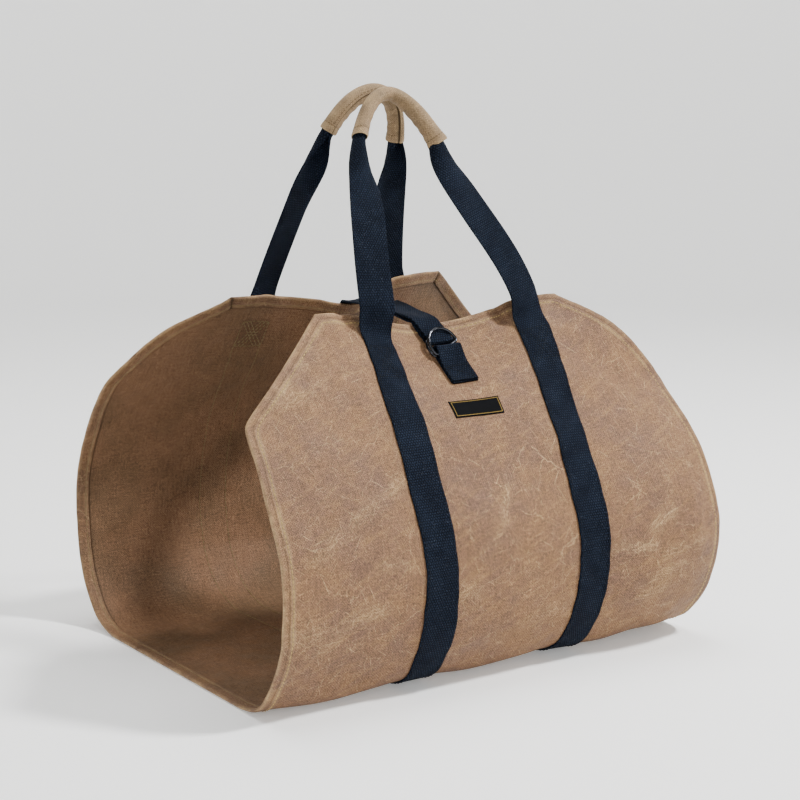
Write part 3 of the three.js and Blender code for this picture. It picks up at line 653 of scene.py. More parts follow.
hem = {
    "width": 12.0, "fold": 1.5, "foldBack": 0.25, "foldRound": 0.6,
    "seamIn": 8.8, "seamWidth": 0.75, "seamDepth": 0.3,  # the seam's and a ruck's distance in from the edge
    "ruckIn": 5.4, "ruckWidth": 0.7, "ruckDepth": 0.3,
    "ridge": 0.45, "ridgePast": 0.6, "ridgeFade": 3.0,
    "mitreWidth": 0.8, "mitreOpen": 0.85,
    "stepPast": 0.6, "stepWidth": 0.65, "stepDepth": 0.25,  # where the hem steps down to the cloth inside
    "lip": 0.12,  # share of the thickness at the very edge
    "seamShade": 0.25, "ruckShade": 0.4, "stepShade": 0.95, "mitreShade": 0.9,  # painted shade in the grooves
    "edgeWear": 0.62, "edgeReach": 1.3, "seamWear": 0.42, "seamReach": 1.7, "insideWear": 0.45,
    "waxed": 0.52,  # how much of the outer face's colour the turned hem keeps inside
    # places in from an edge where the lip, seam and fold need mesh lines
    "lines": [0, 0.12, 0.4, 0.9, 1.8, 3.4, 4.6, 5.4, 6.2, 7.4, 8.2, 8.8, 9.4, 10.3, 11.2, 11.75, 12.05, 12.4,
              13, 14.5, 17, 20.5],
}
strapSeam = {"pitch": 4.4, "share": 0.72, "radius": 0.3, "in": 2.0, "boxTop": 3.0, "boxHeight": 30.0,
             "crossGap": 4.0, "shade": 0.32, "insideMore": 0.06}


# relief of both faces: outside, a faint ridge with the seam sunk in it, and inside the turned hem, with the
# mitred corners open a little. Both round off to a lip at the edge like half an ellipse.
def hemHeights(x, s):
    fromTop, fromEnd = edgeGaps(x, s)
    edge = np.minimum(fromTop, fromEnd)
    sunk = bell(edge - hem["seamIn"], hem["seamWidth"])
    mitre = bell(fromTop - fromEnd, hem["mitreWidth"])
    folded = 1 - ease((edge - hem["width"] + hem["foldBack"]) / hem["foldRound"])
    step = bell(edge - hem["width"] - hem["stepPast"], hem["stepWidth"])
    ruck = bell(edge - hem["ruckIn"], hem["ruckWidth"])
    ridge = 1 - ease((edge - hem["seamIn"] - hem["ridgePast"]) / hem["ridgeFade"])
    outer = halfWall + hem["ridge"] * ridge - hem["seamDepth"] * sunk - hem["ruckDepth"] * ruck
    turned = hem["fold"] * (1 - hem["mitreOpen"] * mitre) - hem["seamDepth"] * sunk
    inner = -halfWall - turned * folded + hem["stepDepth"] * step
    # painted shade in the seam and the ruck outside, and at the step and the open mitres inside
    outerGrooveShade = hem["seamShade"] * sunk + hem["ruckShade"] * ruck
    innerGrooveShade = np.maximum(hem["stepShade"] * step, hem["mitreShade"] * mitre * folded)
    middle = (outer + inner) / 2
    half = (outer - inner) / 2
    rounding = hem["lip"] + (1 - hem["lip"]) * np.sqrt(1 - (1 - np.clip(edge / half, 0, 1)) ** 2)
    return middle + half * rounding, middle - half * rounding, folded, edge, outerGrooveShade, innerGrooveShade


# painted shade on the lining where the close stitches of a crossed box draw it down under the strap
def boxShade(x, s):
    fromBoxTop = seamGirth - strapSeam["boxTop"] - abs(s)
    down = ease((fromBoxTop + 2) / 2) * ease((strapSeam["boxHeight"] + 2 - fromBoxTop) / 2)
    fromMiddle = np.min([abs(x - strapX(ends, s)) for ends in strapEnds.values()], axis=0)
    return strapSeam["shade"] * down * ease((strap["width"] / 2 + 0.5 - fromMiddle) / 2)


# a grid over girth and length, with lines close together along the hems and at the cut corners
def canvasSheet():
    lip = np.array(hem["lines"])
    lower = np.arange(0, halfGirth - lip[-1], canvas["rowStep"])
    around = np.arange(-canvas["cornerReach"], canvas["cornerReach"], canvas["cornerStep"])
    cornerRows = halfGirth - cornerRise + around
    halfRows = np.unique(np.concatenate([lower, cornerRows, halfGirth - lip]).round(4))
    girths = np.concatenate([-halfRows[:0:-1], halfRows])[:, None]
    below = halfGirth - abs(girths)
    leftLip = -halfLine(girths, -1, below, lip)
    rightLip = halfLine(girths, 1, below, lip)
    shares = np.linspace(0, 1, canvas["columns"] + 1)[1:-1]
    inside = leftLip[:, -1:] * (1 - shares) + rightLip[:, -1:] * shares
    x = np.concatenate([leftLip, inside, rightLip[:, ::-1]], axis=1)
    s = girths + 0 * x
    outerHeight, innerHeight, folded, edge, outerGrooveShade, innerGrooveShade = hemHeights(x, s)
    points = roundBoth(overCloth(x, s, outerHeight), overCloth(x, s, innerHeight))
    coords = np.stack([x, s], -1)
    wear = hem["edgeWear"] * np.exp(-edge / hem["edgeReach"])
    wear = wear + hem["seamWear"] * bell(edge - hem["seamIn"], hem["seamReach"])
    near, away = nearCreases(x, s)
    rubbed = near * np.array(canvas["creases"])[:, 7]
    mostRubbed = rubbed.argmax(-1)[..., None]
    rubbed, away = (np.take_along_axis(values, mostRubbed, -1)[..., 0] for values in (rubbed, away))
    # the groove mark is painted shade: in the hem's grooves outside, and along its step, its mitres and the
    # strap boxes inside
    return putPiece(
        "body_canvas_cloth", points[None], bodyCloth, roundBoth(coords, coords),
        {"lining": roundBoth(0 * folded, 1 - hem["waxed"] * folded),
         "grooveShade": roundBoth(outerGrooveShade, np.maximum(innerGrooveShade, boxShade(x, s))),
         "wear": roundBoth(wear, hem["insideWear"] * wear),
         "crease": roundBoth(rubbed, 0 * rubbed), "creaseAway": roundBoth(away, 0 * away)})


bodyPiece = canvasSheet()
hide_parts("body_canvas")
print("canvas made:", len(bodyPiece.data.polygons), "faces")


# Stitches

# a path is cut into whole pitches of its length, and a stitch covers a share of each
def dashes(path, seam):
    path = np.asarray(path, float)
    along = pathLength(path)
    count = max(1, round(along[-1] / seam["pitch"]))
    pitch = along[-1] / count
    ends = (np.arange(count)[:, None] + 0.5 + seam["share"] * np.array([-0.5, 0.5])) * pitch
    return np.stack([np.interp(ends, along, path[:, 0]), np.interp(ends, along, path[:, 1])], -1)


# the same for straight runs between corners, so that every corner has a stitch hole
def corneredDashes(corners, seam):
    return np.concatenate([dashes(run, seam) for run in zip(corners[:-1], corners[1:])])


# places along a stitch, and how high its middle line stands there, in radii of the thread
stitchShape = {"along": [0, 0.08, 0.26, 0.5, 0.74, 0.92, 1],
               "rise": [-1.3, -0.2, 0.55, 0.7, 0.55, -0.2, -1.3], "sides": 6}


# thread along each dash: its middle line dips into the cloth at both ends and lies on it between, and a ring
# of points stands round that line
def threadTubes(surface, ends, radius):
    t = np.array(stitchShape["along"])
    rise = radius * np.array(stitchShape["rise"])
    spots = ends[:, :1] * (1 - t)[:, None] + ends[:, 1:] * t[:, None]
    x, s = spots[..., 0], spots[..., 1]
    middle = surface(x, s, rise + 0 * x)
    over = surface(x, s, rise + 1 + 0 * x) - middle
    along = unit(np.gradient(middle, axis=1))
    across = unit(np.cross(along, over))
    over = np.cross(across, along)
    angle = np.arange(stitchShape["sides"]) * 2 * math.pi / stitchShape["sides"]
    ring = np.cos(angle)[:, None] * across[:, :, None] + np.sin(angle)[:, None] * over[:, :, None]
    length = np.linalg.norm(ends[:, 1] - ends[:, 0], axis=-1)[:, None, None] * t[:, None]
    coords = np.stack(np.broadcast_arrays(length, radius * angle), -1)
    return middle[:, :, None] + radius * ring, coords


# a run is a surface, the ends of the stitches on it, and the thread's radius
def putStitches(name, runs, thread):
    tubes = [threadTubes(*run) for run in runs]
    points = np.concatenate([tube[0] for tube in tubes])
    coords = np.concatenate([tube[1] for tube in tubes])
    return putPiece(name, points, thread, coords, crease=180)


# a face of the hem to sew on: 0 and 1 outside, 1 and -1 inside
def hemFace(which, up):
    return lambda x, s, height: overCloth(x, s, hemHeights(x, s)[which] + up * height)


hemSeam = {"pitch": 3.8, "share": 0.62, "radius": 0.44}
hemGirths = np.linspace(-1, 1, 600) * (halfGirth - hem["seamIn"])
leftHem, rightHem = (
    np.stack([end * halfLine(hemGirths, end, halfGirth - abs(hemGirths), hem["seamIn"]), hemGirths], -1)
    for end in (-1, 1))
hemPaths = [leftHem, rightHem, (leftHem[0], rightHem[0]), (leftHem[-1], rightHem[-1])]
hemDashes = np.concatenate([dashes(hemPath, hemSeam) for hemPath in hemPaths])
hemStitches = putStitches("hem_stitches", [(hemFace(0, 1), hemDashes, hemSeam["radius"])], threads["tan"])
innerStitches = putStitches("hem_stitches_inside", [(hemFace(1, -1), hemDashes, hemSeam["radius"])],
                            threads["brown"])
print("hem sewn:", 2 * len(hemDashes), "stitches")


# Straps

# axis: Bezier controls from the left mouth to the right one. flat: size of the grip in the plane of its
# bend, as shares of its round size at even steps. reach: where the sleeve ends on the curve. flare: how much
# wider its mouths are. rollStart: where its roll starts, in half turns from the top. crown: depth of the
# dent under the bend. twist and sway: of the left and right legs, in degrees and millimetres.
grips = {
    "front_grip_sleeve": {"node": "front_grip", "side": -1, "bow": 26,
                          "axis": [(-40, -12, 455), (-13, 9, 506), (13, 9, 505), (40, -12, 455)],
                          "flat": [0.76, 0.66, 0.64, 0.78, 0.9, 1.0, 1.02, 1.0],
                          "reach": (0.0, 1.045), "flare": (0.7, 1.9), "rollStart": 1.22, "crown": 1.5,
                          "twist": (-12, 9), "sway": ((-5.5, -1.9), (-2.9, 4.4))},
    "back_grip_sleeve": {"node": "back_grip", "side": 1, "bow": 14,
                         "axis": [(-38, 46, 456), (-13, 29, 508), (33, 32, 508), (38, 46, 456)],
                         "flat": [1.0, 1.0, 0.98, 0.95, 0.93, 0.95, 0.98, 0.96],
                         "reach": (0.02, 1.04), "flare": (0.9, 0.9), "rollStart": 0.3, "crown": 0.7,
                         "twist": (22, -10), "sway": ((1.2, 0), (0, 0))},
}
strapMiddle = halfWall + strap["gap"] + strap["thick"] / 2  # height over the middle of the cloth


# sizes of a flattened grip in the plane of its bend and square to it, which keep the way round it as it was
def flattened(grip, share):
    table = smoothThrough(np.stack([np.linspace(0, 1, len(grip["flat"])), grip["flat"]], -1), 8)
    flat = np.interp(share, table[:, 0], table[:, 1])
    return flat, np.sqrt(2 - flat**2)


def profileOf(width, thick):
    shares = np.array(strap["profile"])
    return shares[:, 0] * width / 2, shares[:, 1] * thick / 2


# both faces of webbing, half its thickness either side of its middle
def bothFaces(middle, face, half):
    return roundBoth(middle + face * half[:, None], middle - face * half[:, None])


# places on the cloth of both faces of webbing: across it, and along it
def webbingCoords(offsets, along):
    return np.stack(np.broadcast_arrays(np.concatenate([offsets, offsets[::-1]]), along[:, None]), -1)


# rows of a strap's leg, from the end of its seam to the middle of a grip. Its middle line leaves along the
# panel and eases into a Bezier curve that arrives along the grip. Across it the webbing is an arc that turns
# from flat to a full roll as it nears the grip.
def strapLeg(grip, ends, offsets, half):
    side = grip["side"]
    footX = strapX(ends, np.array(side * seamGirth))
    foot = overCloth(footX, side * seamGirth, strapMiddle)
    slope, sewnAcross, _ = clothFrame(footX, side * seamGirth)
    rightwards = ends["end"] > 0
    axis = np.array(grip["axis"], float)[::-ends["end"]]
    mouth = axis[0]
    intoGrip = unit(axis[1] - axis[0])
    lowerThird = foot + (mouth - foot) / 3 + np.array([0, side * grip["bow"], 0])
    controls = [foot, lowerThird, mouth - intoGrip * strap["legEase"], mouth]
    leg, along = evenly(bezier(controls, np.linspace(0, 1, curveSteps)), strap["legRows"])
    freed = ease(along / strap["legStart"])
    onPanel = foot + slope * side * along[:, None]
    leg = onPanel + (leg - onPanel) * freed[:, None]
    turn = math.pi * along / along[-1]
    once, twice = grip["sway"][rightwards]
    leg[:, 0] += (once * np.sin(turn) + twice * np.sin(2 * turn)) * freed
    gripShare = np.linspace(0, 0.5 - strap["meeting"] / 2, strap["gripRows"])
    middle = np.concatenate([leg, bezier(axis, gripShare)[1:]])
    toMouth = np.concatenate([along[-1] - along, np.zeros(strap["gripRows"] - 1)])[:, None]
    curl = np.clip(1 - toMouth / strap["curlLength"], 0, 1) ** 2
    rolled = ease(1 - toMouth / strap["curlLength"])
    tangent = unit(np.gradient(middle, axis=0)) * side
    across = unit(np.cross([0, side, 0], tangent))
    sewn = 1 - ease(pathLength(middle) / strap["legStart"])[:, None]
    across = unit(across * (1 - sewn) + sewnAcross * sewn)
    face = unit(np.cross(tangent, across))
    twist = math.radians(grip["twist"][rightwards]) * (1 - sewn) * ease(toMouth / strap["curlLength"])
    across, face = (across * np.cos(twist) + face * side * np.sin(twist),
                    face * np.cos(twist) - across * side * np.sin(twist))
    sweep = np.maximum(strap["flatSweep"], curl * strap["width"] / strap["rollRadius"])
    radius = strap["width"] / sweep
    angle = sweep * offsets / strap["width"]
    rays = face[:, None] * np.cos(angle)[..., None] + across[:, None] * np.sin(angle)[..., None]
    centre = middle - face * (radius - strap["rollRadius"] * rolled)
    fromMiddle = bothFaces(centre[:, None] + rays * radius[..., None], rays, half) - middle[:, None]
    share = np.concatenate([0 * along, gripShare[1:]])[:, None]
    inPlane, square = flattened(grip, 1 - share if rightwards else share)
    points = middle[:, None] + fromMiddle
    for direction, size in ((across[:, None], inPlane), (face[:, None], square)):
        reach = np.sum(fromMiddle * direction, -1, keepdims=True)
        points = points + direction * reach * ((size - 1) * rolled)[..., None]
    return points[1:], middle[1:]


def handleStrap(name, ends):
    offsets, half = profileOf(strap["width"], strap["thick"])
    count = round(2 * seamGirth / strap["rowStep"])
    s = np.linspace(-seamGirth, seamGirth, count)[:, None]
    x = strapX(ends, s) + offsets
    normal = clothFrame(x, s)[2]
    sewn = bothFaces(clothMiddle(x, s) + normal * strapMiddle, normal, half)
    sewnMiddle = clothMiddle(strapX(ends, s[:, 0]), s[:, 0])
    frontLeg, frontMiddle = strapLeg(grips["front_grip_sleeve"], ends, offsets, half)
    backLeg, backMiddle = strapLeg(grips["back_grip_sleeve"], ends, offsets, half)
    points = np.concatenate([frontLeg[::-1], sewn, backLeg])
    along = pathLength(np.concatenate([frontMiddle[::-1], sewnMiddle, backMiddle]))
    piece = putPiece(name, points[None], webbingCloth, webbingCoords(offsets, along))
    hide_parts(ends["node"])


for name, ends in strapEnds.items():
    handleStrap(name, ends)
print("straps made")


# Grips

sleeve = {
    "radius": 7.9, "wall": 1.2, "rows": 84, "columns": 90,
    "lap": 0.62, "lapTurn": 2.2, "groovePast": 0.08, "grooveWidth": 0.12,  # in radians round the grip
    "lapGap": 0.12, "lapLift": 0.5, "liftFrom": 0.94, "liftIn": 5.0, "liftFade": 8.0,
    "ripple": 0.32, "rippleFade": 12.0, "crownWidth": 3.2,
    "seamIn": 7.0, "drawn": 0.3, "drawnWidth": 1.3, "flareReach": 9.0,  # the end seams draw the sleeve in
    "mouthThin": 0.75, "mouthRound": 0.35, "edgeThin": 0.6, "edgeRound": 0.006,  # edges rounded off
    "topWear": 0.3, "mouthWear": 0.5, "mouthReach": 1.5,
}


# a strip of canvas rolled round the grip, one edge lapped over the other. Its radius grows by a wall as it
# comes round, ripples along the inside of the bend, and draws in at both sewn ends. Its length, and its
# outer face as a surface for stitches, are given back.
def gripSleeve(name, grip):
    path = bezier(grip["axis"], np.linspace(*grip["reach"], curveSteps))
    middle, along = evenly(path, sleeve["rows"])
    length = along[-1]
    left = along[:, None]  # distances from the left mouth and from the right one
    right = length - left
    tangent = unit(np.gradient(middle, axis=0))
    top = unit(np.cross(tangent, [0, 1, 0]))
    aside = np.cross(tangent, top)
    share = np.linspace(0, 1, sleeve["columns"])
    rolled = share * (2 * math.pi + sleeve["lap"])
    angle = rolled + grip["rollStart"] * math.pi
    under = np.clip(-np.cos(angle), 0, None) ** 1.5
    ripple = sleeve["ripple"] * under * np.sin(left / 1.55 + 0.8 * np.sin(left / 9))
    ripple = ripple * ease(left / sleeve["rippleFade"]) * ease(right / sleeve["rippleFade"])
    ripple = ripple + 0.22 * np.sin(2 * angle + left / 17) + 0.14 * np.sin(3 * angle - left / 8.3)
    ripple = ripple - grip["crown"] * bell(left - length / 2, sleeve["crownWidth"]) * under
    lapped = 1 - ease((rolled - sleeve["lap"]) / sleeve["lapTurn"])
    outer = sleeve["radius"] - (sleeve["wall"] + sleeve["lapGap"]) * lapped + ripple
    lifted = ease((share - sleeve["liftFrom"]) / (1 - sleeve["liftFrom"]))
    thin = 1
    wear = sleeve["topWear"] * np.clip(np.cos(angle), 0, 1) ** 3
    for toMouth, flare in zip((left, right), grip["flare"]):
        outer = outer - sleeve["drawn"] * bell(toMouth - sleeve["seamIn"], sleeve["drawnWidth"])
        outer = outer + flare * bell(toMouth, sleeve["flareReach"])
        lifted = lifted * ease((toMouth - sleeve["liftIn"]) / sleeve["liftFade"])
        thin = thin - sleeve["mouthThin"] * np.exp(-toMouth / sleeve["mouthRound"])
        wear = wear + sleeve["mouthWear"] * np.exp(-toMouth / sleeve["mouthReach"])
    outer = outer + sleeve["lapLift"] * lifted
    nearEdges = np.exp(-share / sleeve["edgeRound"]) + np.exp(-(1 - share) / sleeve["edgeRound"])
    edgeThin = 1 - sleeve["edgeThin"] * nearEdges
    half = (sleeve["wall"] / 2 * thin * edgeThin)[..., None]
    inPlane, square = (size[..., None] for size in flattened(grip, left / length))
    upwards = top[:, None] * np.cos(angle)[:, None]
    sideways = aside[:, None] * np.sin(angle)[:, None]
    rays = unit(upwards * square + sideways * inPlane)
    spread = upwards * inPlane + sideways * square
    wallMiddle = (outer - sleeve["wall"] / 2)[..., None] * spread + middle[:, None]
    outside = wallMiddle + rays * half
    coords = np.stack(np.broadcast_arrays(rolled * sleeve["radius"], left), -1)
    # painted shade along the line where the lapped edge steps down onto the strip
    grooveShade = bell(rolled - sleeve["lap"] - sleeve["groovePast"], sleeve["grooveWidth"]) + 0 * left
    piece = putPiece(name, roundBoth(outside, wallMiddle - rays * half)[None], gripCloth,
                     roundBoth(coords, coords),
                     {"wear": roundBoth(wear, wear), "grooveShade": roundBoth(grooveShade, 0 * grooveShade)})
    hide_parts(grip["node"])

    # between four neighbours on the grid, each weighed by how near it is
    def onSleeve(place, turn, height):
        rowPlace = np.clip(place / length, 0, 1) * (sleeve["rows"] - 1)
        columnPlace = np.clip(turn, 0, 1) * (sleeve["columns"] - 1)
        row = np.minimum(rowPlace.astype(int), sleeve["rows"] - 2)
        column = np.minimum(columnPlace.astype(int), sleeve["columns"] - 2)
        down = (rowPlace - row)[..., None]
        across = (columnPlace - column)[..., None]
        near = outside[row, column] * (1 - down) + outside[row + 1, column] * down
        far = outside[row, column + 1] * (1 - down) + outside[row + 1, column + 1] * down
        ray = rays[row, column] * (1 - across) + rays[row, column + 1] * across
        return near * (1 - across) + far * across + ray * height[..., None]

    return onSleeve, length


# lapShare: where the lap's seam runs, as a share of the strip. endsFrom: where the end seams start on it.
gripSeam = {"count": 17, "share": 0.66, "radius": 0.28, "pitch": 3.4, "lapIn": 8.0, "lapShare": 0.955,
            "endsFrom": 0.12}
gripRuns = []
for name, grip in grips.items():
    onSleeve, length = gripSleeve(name, grip)
    steps = (np.arange(gripSeam["count"]) + 0.5) / gripSeam["count"]
    middles = gripSeam["endsFrom"] + (1 - gripSeam["endsFrom"]) * steps
    reach = (1 - gripSeam["endsFrom"]) * gripSeam["share"] / 2 / gripSeam["count"]
    for end in (sleeve["seamIn"], length - sleeve["seamIn"]):
        stitchEnds = [np.stack([0 * middles + end, middles + lean], -1) for lean in (-reach, reach)]
        gripRuns.append((onSleeve, np.stack(stitchEnds, 1), gripSeam["radius"]))
    sewnLength = length - 2 * gripSeam["lapIn"]
    count = round(sewnLength / gripSeam["pitch"])
    spots = gripSeam["lapIn"] + sewnLength * (np.arange(count) + 0.5) / count
    reach = gripSeam["pitch"] * gripSeam["share"] / 2
    stitchEnds = [np.stack([spots + lean, 0 * spots + gripSeam["lapShare"]], -1) for lean in (-reach, reach)]
    gripRuns.append((onSleeve, np.stack(stitchEnds, 1), gripSeam["radius"]))
putStitches("grip_stitches", gripRuns, threads["umber"])
print("grips made")


# Strap seams

# a face at a height over the middle of the cloth to sew on, up being 1 outside and -1 inside
def clothFace(lift, up):
    return lambda x, s, height: overCloth(x, s, lift + up * height)


onStrap = clothFace(halfWall + strap["gap"] + strap["thick"], 1)
behindStrap = clothFace(-halfWall, -1)
outsideRuns = []
insideRuns = []
reach = strap["width"] / 2 - strapSeam["in"]
crossGap = strapSeam["crossGap"]
for ends in strapEnds.values():
    for side in (-1, 1):
        top = side * (seamGirth - strapSeam["boxTop"])
        foot = side * (seamGirth - strapSeam["boxTop"] - strapSeam["boxHeight"])
        topMiddle, footMiddle = strapX(ends, np.array([top, foot]))
        corners = [(topMiddle - reach, top), (topMiddle + reach, top), (footMiddle + reach, foot),
                   (footMiddle - reach, foot), (topMiddle - reach, top)]
        sewn = [corneredDashes(corners, strapSeam)]
        for lean in (-1, 1):
            for shift in (-crossGap, 0, crossGap):
                start = topMiddle - lean * (reach - crossGap) + shift
                stop = footMiddle + lean * (reach - crossGap) + shift
                sewn.append(dashes([(start, top), (stop, foot)], strapSeam))
        down = np.linspace(foot, 0, 100)
        for lean in (-reach, reach):
            sewn.append(dashes(np.stack([strapX(ends, down) + lean, down], -1), strapSeam))
        sewn = np.concatenate(sewn)
        outsideRuns.append((onStrap, sewn, strapSeam["radius"]))
        insideRuns.append((behindStrap, sewn, strapSeam["radius"] + strapSeam["insideMore"]))
putStitches("strap_stitches", outsideRuns, threads["navy"])
putStitches("strap_stitches_inside", insideRuns, threads["olive"])
print("straps sewn")


# Closure

closure = {
    "width": 26.0, "thick": 1.8, "gap": 0.2, "layerGap": 0.15, "backX": 5.0, "tabEnd": 69.0, "rise": 3.0,
    "route": [(-50, -21.0), (0, -9.5), (31, -0.5), (69, 1.5)],  # x at distances below the front edge
    "beside": 0.5,  # how far the webbing lies to the right in the rings
    "tailRise": 7.0, "steps": 7, "turnRise": 9.7, "overEdge": (-4.5, -2.0),
}
ring = {"wire": 2.5, "gap": 0.15, "radius": 14.9, "side": 4.4, "corner": 2.4, "bar": 31.0, "tilt": 1.8,
        "lean": 0.45, "rows": 120, "columns": 14}
# heights over the middle of the cloth of what is stacked at the rings
strapHeight = halfWall + closure["gap"] + closure["thick"] / 2
ringPitch = closure["thick"] / 2 + ring["gap"] + ring["wire"] / 2
lowerRingHeight = strapHeight + ringPitch
tailHeight = lowerRingHeight + ringPitch
upperBarHeight = lowerRingHeight + ring["wire"] + ring["gap"]
upperRingHeight = tailHeight + ringPitch + ring["tilt"]
tabTopHeight = upperBarHeight + ringPitch


def closureX(below):
    return np.interp(below, *np.transpose(closure["route"]))


# places of webbing on a panel, from rows of distance below its top edge and height over the cloth
def panelPlaces(side, rows, offsets):
    below, height = np.array(rows, float).T[..., None]
    x = closureX(below) + closure["beside"] if side < 0 else closure["backX"]
    return besidePanel(side, x + offsets, below, height)


# webbing along smooth routes through places, one route for each offset across it: its face is the cross
# product of the slopes along the route and across it
def routedWebbing(name, node, placesAt):
    offsets, half = profileOf(closure["width"], closure["thick"])
    middle = smoothThrough(placesAt(offsets), closure["steps"])
    along = unit(np.gradient(middle, axis=0))
    across = unit(np.gradient(middle, axis=1))
    face = unit(np.cross(along, across))
    coords = webbingCoords(offsets, pathLength(middle[:, len(offsets) // 2]))
    piece = putPiece(name, bothFaces(middle, face, half)[None], webbingCloth, coords)
    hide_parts(node)


# closure strap: sewn to the back panel, over the mouth and the front edge, under the lower ring, folded back
# between the two rings, its tail lying on itself
def closurePlaces(offsets):
    backEdge = panelPlaces(1, [closure["overEdge"]], offsets)
    frontEdge = panelPlaces(-1, [closure["overEdge"]], offsets)

    # straight across the mouth, bowed up by a parabola
    def span(shares, rise):
        shares = np.array(shares)[:, None, None]
        bow = np.array([0, 0, 4 * rise]) * shares * (1 - shares)
        return backEdge * (1 - shares) + frontEdge * shares + bow

    turnRadius = (tailHeight - strapHeight) / 2
    turns = np.array([-0.5, -0.25, 0, 0.25, 0.5]) * math.pi
    turnRows = np.stack([ring["bar"] - closure["turnRise"] + turnRadius * np.cos(turns),
                         lowerRingHeight + turnRadius * np.sin(turns)], -1)
    backRows = [(50, strapHeight), (28, strapHeight), (7, strapHeight), (-1.5, 1.9), closure["overEdge"]]
    frontRows = [closure["overEdge"], (-1.5, 1.7), (6, strapHeight), *turnRows, (10, tailHeight),
                 (5, tailHeight - 0.3), (-2.5, 4.4), (-7.5, 0.3)]
    return np.concatenate([panelPlaces(1, backRows, offsets), span([0.25, 0.5, 0.75], closure["rise"]),
                           panelPlaces(-1, frontRows, offsets), span([0.8, 0.65, 0.5], closure["tailRise"])])


# ring tab: webbing folded round the two straight bars, both ends sewn to the front panel
def tabPlaces(offsets):
    bar = ring["bar"]
    loop = bar - ringPitch
    doubled = strapHeight + closure["thick"] + closure["layerGap"]
    end = closure["tabEnd"]
    under = [(end, strapHeight), (end - 17, strapHeight), (bar + 6, strapHeight), (bar, strapHeight)]
    bend = [(loop + 0.8, strapHeight + 0.7), (loop, lowerRingHeight), (loop, upperBarHeight),
            (loop + 0.8, tabTopHeight - 0.8)]
    over = [(bar, tabTopHeight), (bar + 4, tabTopHeight - 1.2), (bar + 14, doubled + 0.7),
            (bar + 20, doubled), (end - 8, doubled), (end - 1, doubled)]
    return panelPlaces(-1, under + bend + over, offsets)


routedWebbing("closure_webbing", "closure_strap", closurePlaces)
routedWebbing("ring_tab_webbing", "ring_tab", tabPlaces)


# a D of round wire: along its bar, round two small corners, up the sides and over the half circle
def ringWire(name, node, barHeight, roundHeight):
    corner, half = ring["corner"], ring["radius"]
    quarter = np.linspace(0, math.pi / 2, 12)
    arch = np.linspace(0, math.pi, 60)
    outline = np.concatenate([
        np.stack([half - corner + corner * np.sin(quarter), corner - corner * np.cos(quarter)], -1),
        np.stack([half * np.cos(arch), ring["side"] + half * np.sin(arch)], -1),
        np.stack([-half + corner - corner * np.cos(quarter), corner - corner * np.sin(quarter)], -1)])
    outline, _ = evenly(np.concatenate([outline, outline[:1]]), ring["rows"] + 1)
    outline = outline[:-1]
    x = closureX(ring["bar"])
    barGirth = ring["bar"] - halfGirth
    bar = overCloth(x, barGirth, barHeight)
    far = ring["side"] + half
    up = unit(overCloth(x - ring["lean"] * far, barGirth - far, roundHeight) - bar)
    across = unit(np.cross(up, clothFrame(x, barGirth)[2]))
    face = np.cross(across, up)
    middle = bar + outline[:, :1] * across + outline[:, 1:] * up
    along = unit(np.roll(middle, -1, axis=0) - np.roll(middle, 1, axis=0))
    outwards = np.cross(along, face)
    angle = np.arange(ring["columns"]) * 2 * math.pi / ring["columns"]
    rays = outwards[:, None] * np.cos(angle)[:, None] + face * np.sin(angle)[:, None]
    points = middle[:, None] + rays * ring["wire"] / 2
    piece = putPiece(name, points[None], ringMetal, ringed=True)
    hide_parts(node)


ringWire("lower_ring_wire", "lower_ring", lowerRingHeight, lowerRingHeight)
ringWire("upper_ring_wire", "upper_ring", upperBarHeight, upperRingHeight)

# tab and back: distances below the top edge between which the boxes are sewn
tabSeam = {"pitch": 3.2, "share": 0.72, "radius": 0.28, "in": 2.2, "tab": (51.0, 66.0), "back": (22.0, 47.0)}


# the same as clothFace, beside a panel
def panelFace(side, lift, up):
    return lambda x, below, height: besidePanel(side, x, below, lift + up * height)


# a box with both diagonals
def crossedBox(middle, near, far):
    reach = closure["width"] / 2 - tabSeam["in"]
    left, right = middle - reach, middle + reach
    box = [(left, near), (right, near), (right, far), (left, far), (left, near), (right, far)]
    return np.concatenate([corneredDashes(box, tabSeam), dashes([(right, near), (left, far)], tabSeam)])


tabBox = crossedBox(closureX(closure["tabEnd"] - 8) + closure["beside"], *tabSeam["tab"])
backBox = crossedBox(closure["backX"], *tabSeam["back"])
onTab = panelFace(-1, strapHeight + 1.5 * closure["thick"] + closure["gap"], 1)
onClosureBack = panelFace(1, strapHeight + closure["thick"] / 2, 1)
behindFront, behindBack = (panelFace(side, -halfWall, -1) for side in (-1, 1))
putStitches("closure_stitches", [(onTab, tabBox, tabSeam["radius"]),
                                 (onClosureBack, backBox, tabSeam["radius"])], threads["navy"])
putStitches("closure_stitches_inside", [(behindFront, tabBox, tabSeam["radius"]),
                                        (behindBack, backBox, tabSeam["radius"])], threads["olive"])
print("closure made")


# Label

label = {"width": 52.0, "height": 18.5, "thick": 0.8, "x": -1.0, "below": 98.0, "columns": 66, "rows": 27,
         "border": 1.9, "borderWidth": 0.6, "borderRise": 0.16, "edgeShare": 0.45, "edgeRound": 0.8,
         "gap": 0.05}


